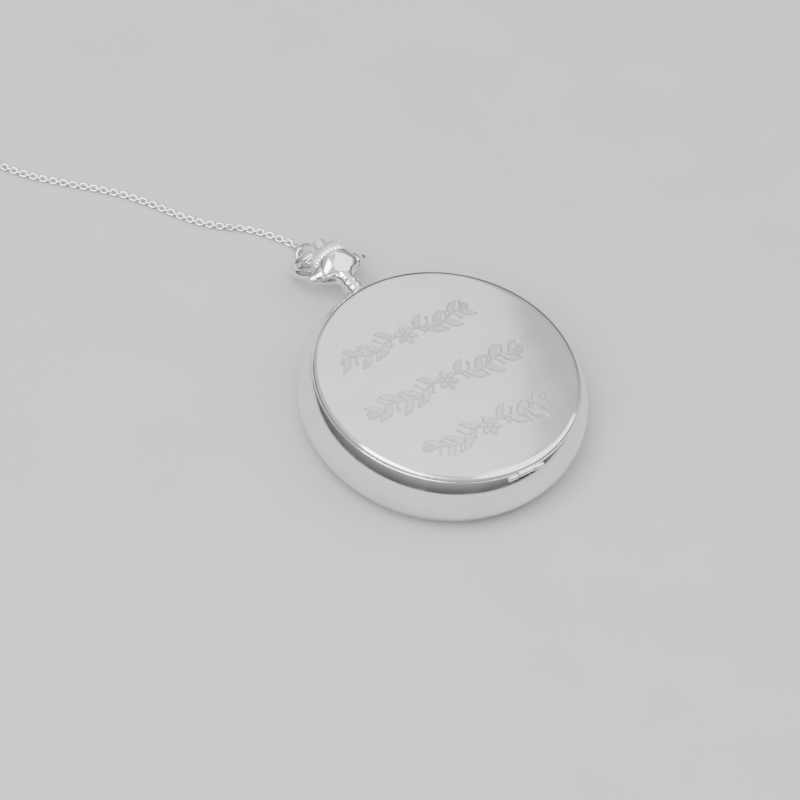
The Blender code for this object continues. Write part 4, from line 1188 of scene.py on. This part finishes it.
def make_jump_ring():
    reach = math.sqrt(BOW_LENGTH**2 - (STEM_Z - BOW_APEX_Z) ** 2)
    turn = Matrix.Rotation(math.radians(45), 4, "Y") @ Matrix.Rotation(math.pi / 2, 4, "Y")
    ring_frame = shift(0, BOW_Y + reach + 0.6, BOW_APEX_Z + 0.06) @ turn
    line = [(x, y, 0) for x, y in circle(JUMP_RING_R, 64)]
    ring = Form().add(swept(line, 0.28, 14, closed=True), ring_frame)
    place(ring.make("jump_link", LINK_SILVER, 40), "bow", "chain_silver", "jump_ring")


make_pendant()
make_crown()
make_button()
make_bow()
make_jump_ring()


# --- floor and light ---


FLOOR_REACH = 1.5
FLOOR_DROP = 0.00005
FLOOR_DARK, FLOOR_LIGHT = (0.41, 0.41, 0.405), (0.43, 0.43, 0.425)
# (height from nadir to zenith, grey)
SKY = [(0.0, 0.40), (0.5, 0.10), (0.6, 0.26), (0.75, 0.66), (0.9, 0.87), (1.0, 1.05)]
LIGHT_TARGET = (0, 0, 8)


def make_floor():
    mesh = bpy.data.meshes.new("floor")
    corners = [(x * FLOOR_REACH, y * FLOOR_REACH, 0) for x, y in ((-1, -1), (1, -1), (1, 1), (-1, 1))]
    mesh.from_pydata(corners, [], [(0, 1, 2, 3)])
    floor = bpy.data.objects.new("floor", mesh)
    bpy.context.scene.collection.objects.link(floor)
    floor.location.z = -FLOOR_DROP
    s = Shader("floor_paper").set(Roughness=0.9)
    s.link(s.ramp(s.noise(60, 3), (0.3, FLOOR_DARK), (0.7, FLOOR_LIGHT)), "Base Color")
    mesh.materials.append(s.material)


def area_light(name, azimuth, elevation, distance, size, power, colour=(1, 1, 1)):
    """A softbox in the direction (azimuth, elevation), in degrees, aimed at the watch."""
    data = bpy.data.lights.new(name, "AREA")
    data.shape, data.size, data.size_y = "RECTANGLE", size[0], size[1]
    data.energy, data.color = power, colour
    light = bpy.data.objects.new(name, data)
    bpy.context.scene.collection.objects.link(light)
    a, e = math.radians(azimuth), math.radians(elevation)
    back = Vector((math.sin(a) * math.cos(e), -math.cos(a) * math.cos(e), math.sin(e)))
    light.location = Vector(LIGHT_TARGET) * MM + back * distance
    light.rotation_mode = "QUATERNION"
    light.rotation_quaternion = back.to_track_quat("Z", "Y")


def make_world():
    world = bpy.data.worlds.new("studio")
    world.use_nodes = True
    bpy.context.scene.world = world
    nodes, links = world.node_tree.nodes, world.node_tree.links
    coords = nodes.new("ShaderNodeTexCoord")
    split = nodes.new("ShaderNodeSeparateXYZ")
    links.new(coords.outputs["Generated"], split.inputs[0])
    ramp = nodes.new("ShaderNodeValToRGB")
    while len(ramp.color_ramp.elements) < len(SKY):
        ramp.color_ramp.elements.new(0.5)
    for element, (at, grey) in zip(ramp.color_ramp.elements, SKY):
        element.position, element.color = at, (grey, grey, grey * 1.01, 1)
    half = nodes.new("ShaderNodeMath")
    half.operation = "MULTIPLY_ADD"
    half.inputs[1].default_value = half.inputs[2].default_value = 0.5
    links.new(split.outputs["Z"], half.inputs[0])
    links.new(half.outputs[0], ramp.inputs[0])
    links.new(ramp.outputs[0], nodes["Background"].inputs["Color"])


make_floor()
make_world()
area_light("softbox_key", -70, 58, 0.9, (0.7, 0.7), 17)
area_light("softbox_fill", 60, 50, 1.0, (0.9, 0.9), 5)
area_light("softbox_back", 156, 54, 0.9, (0.65, 0.8), 1.25, (1.0, 0.985, 0.93))
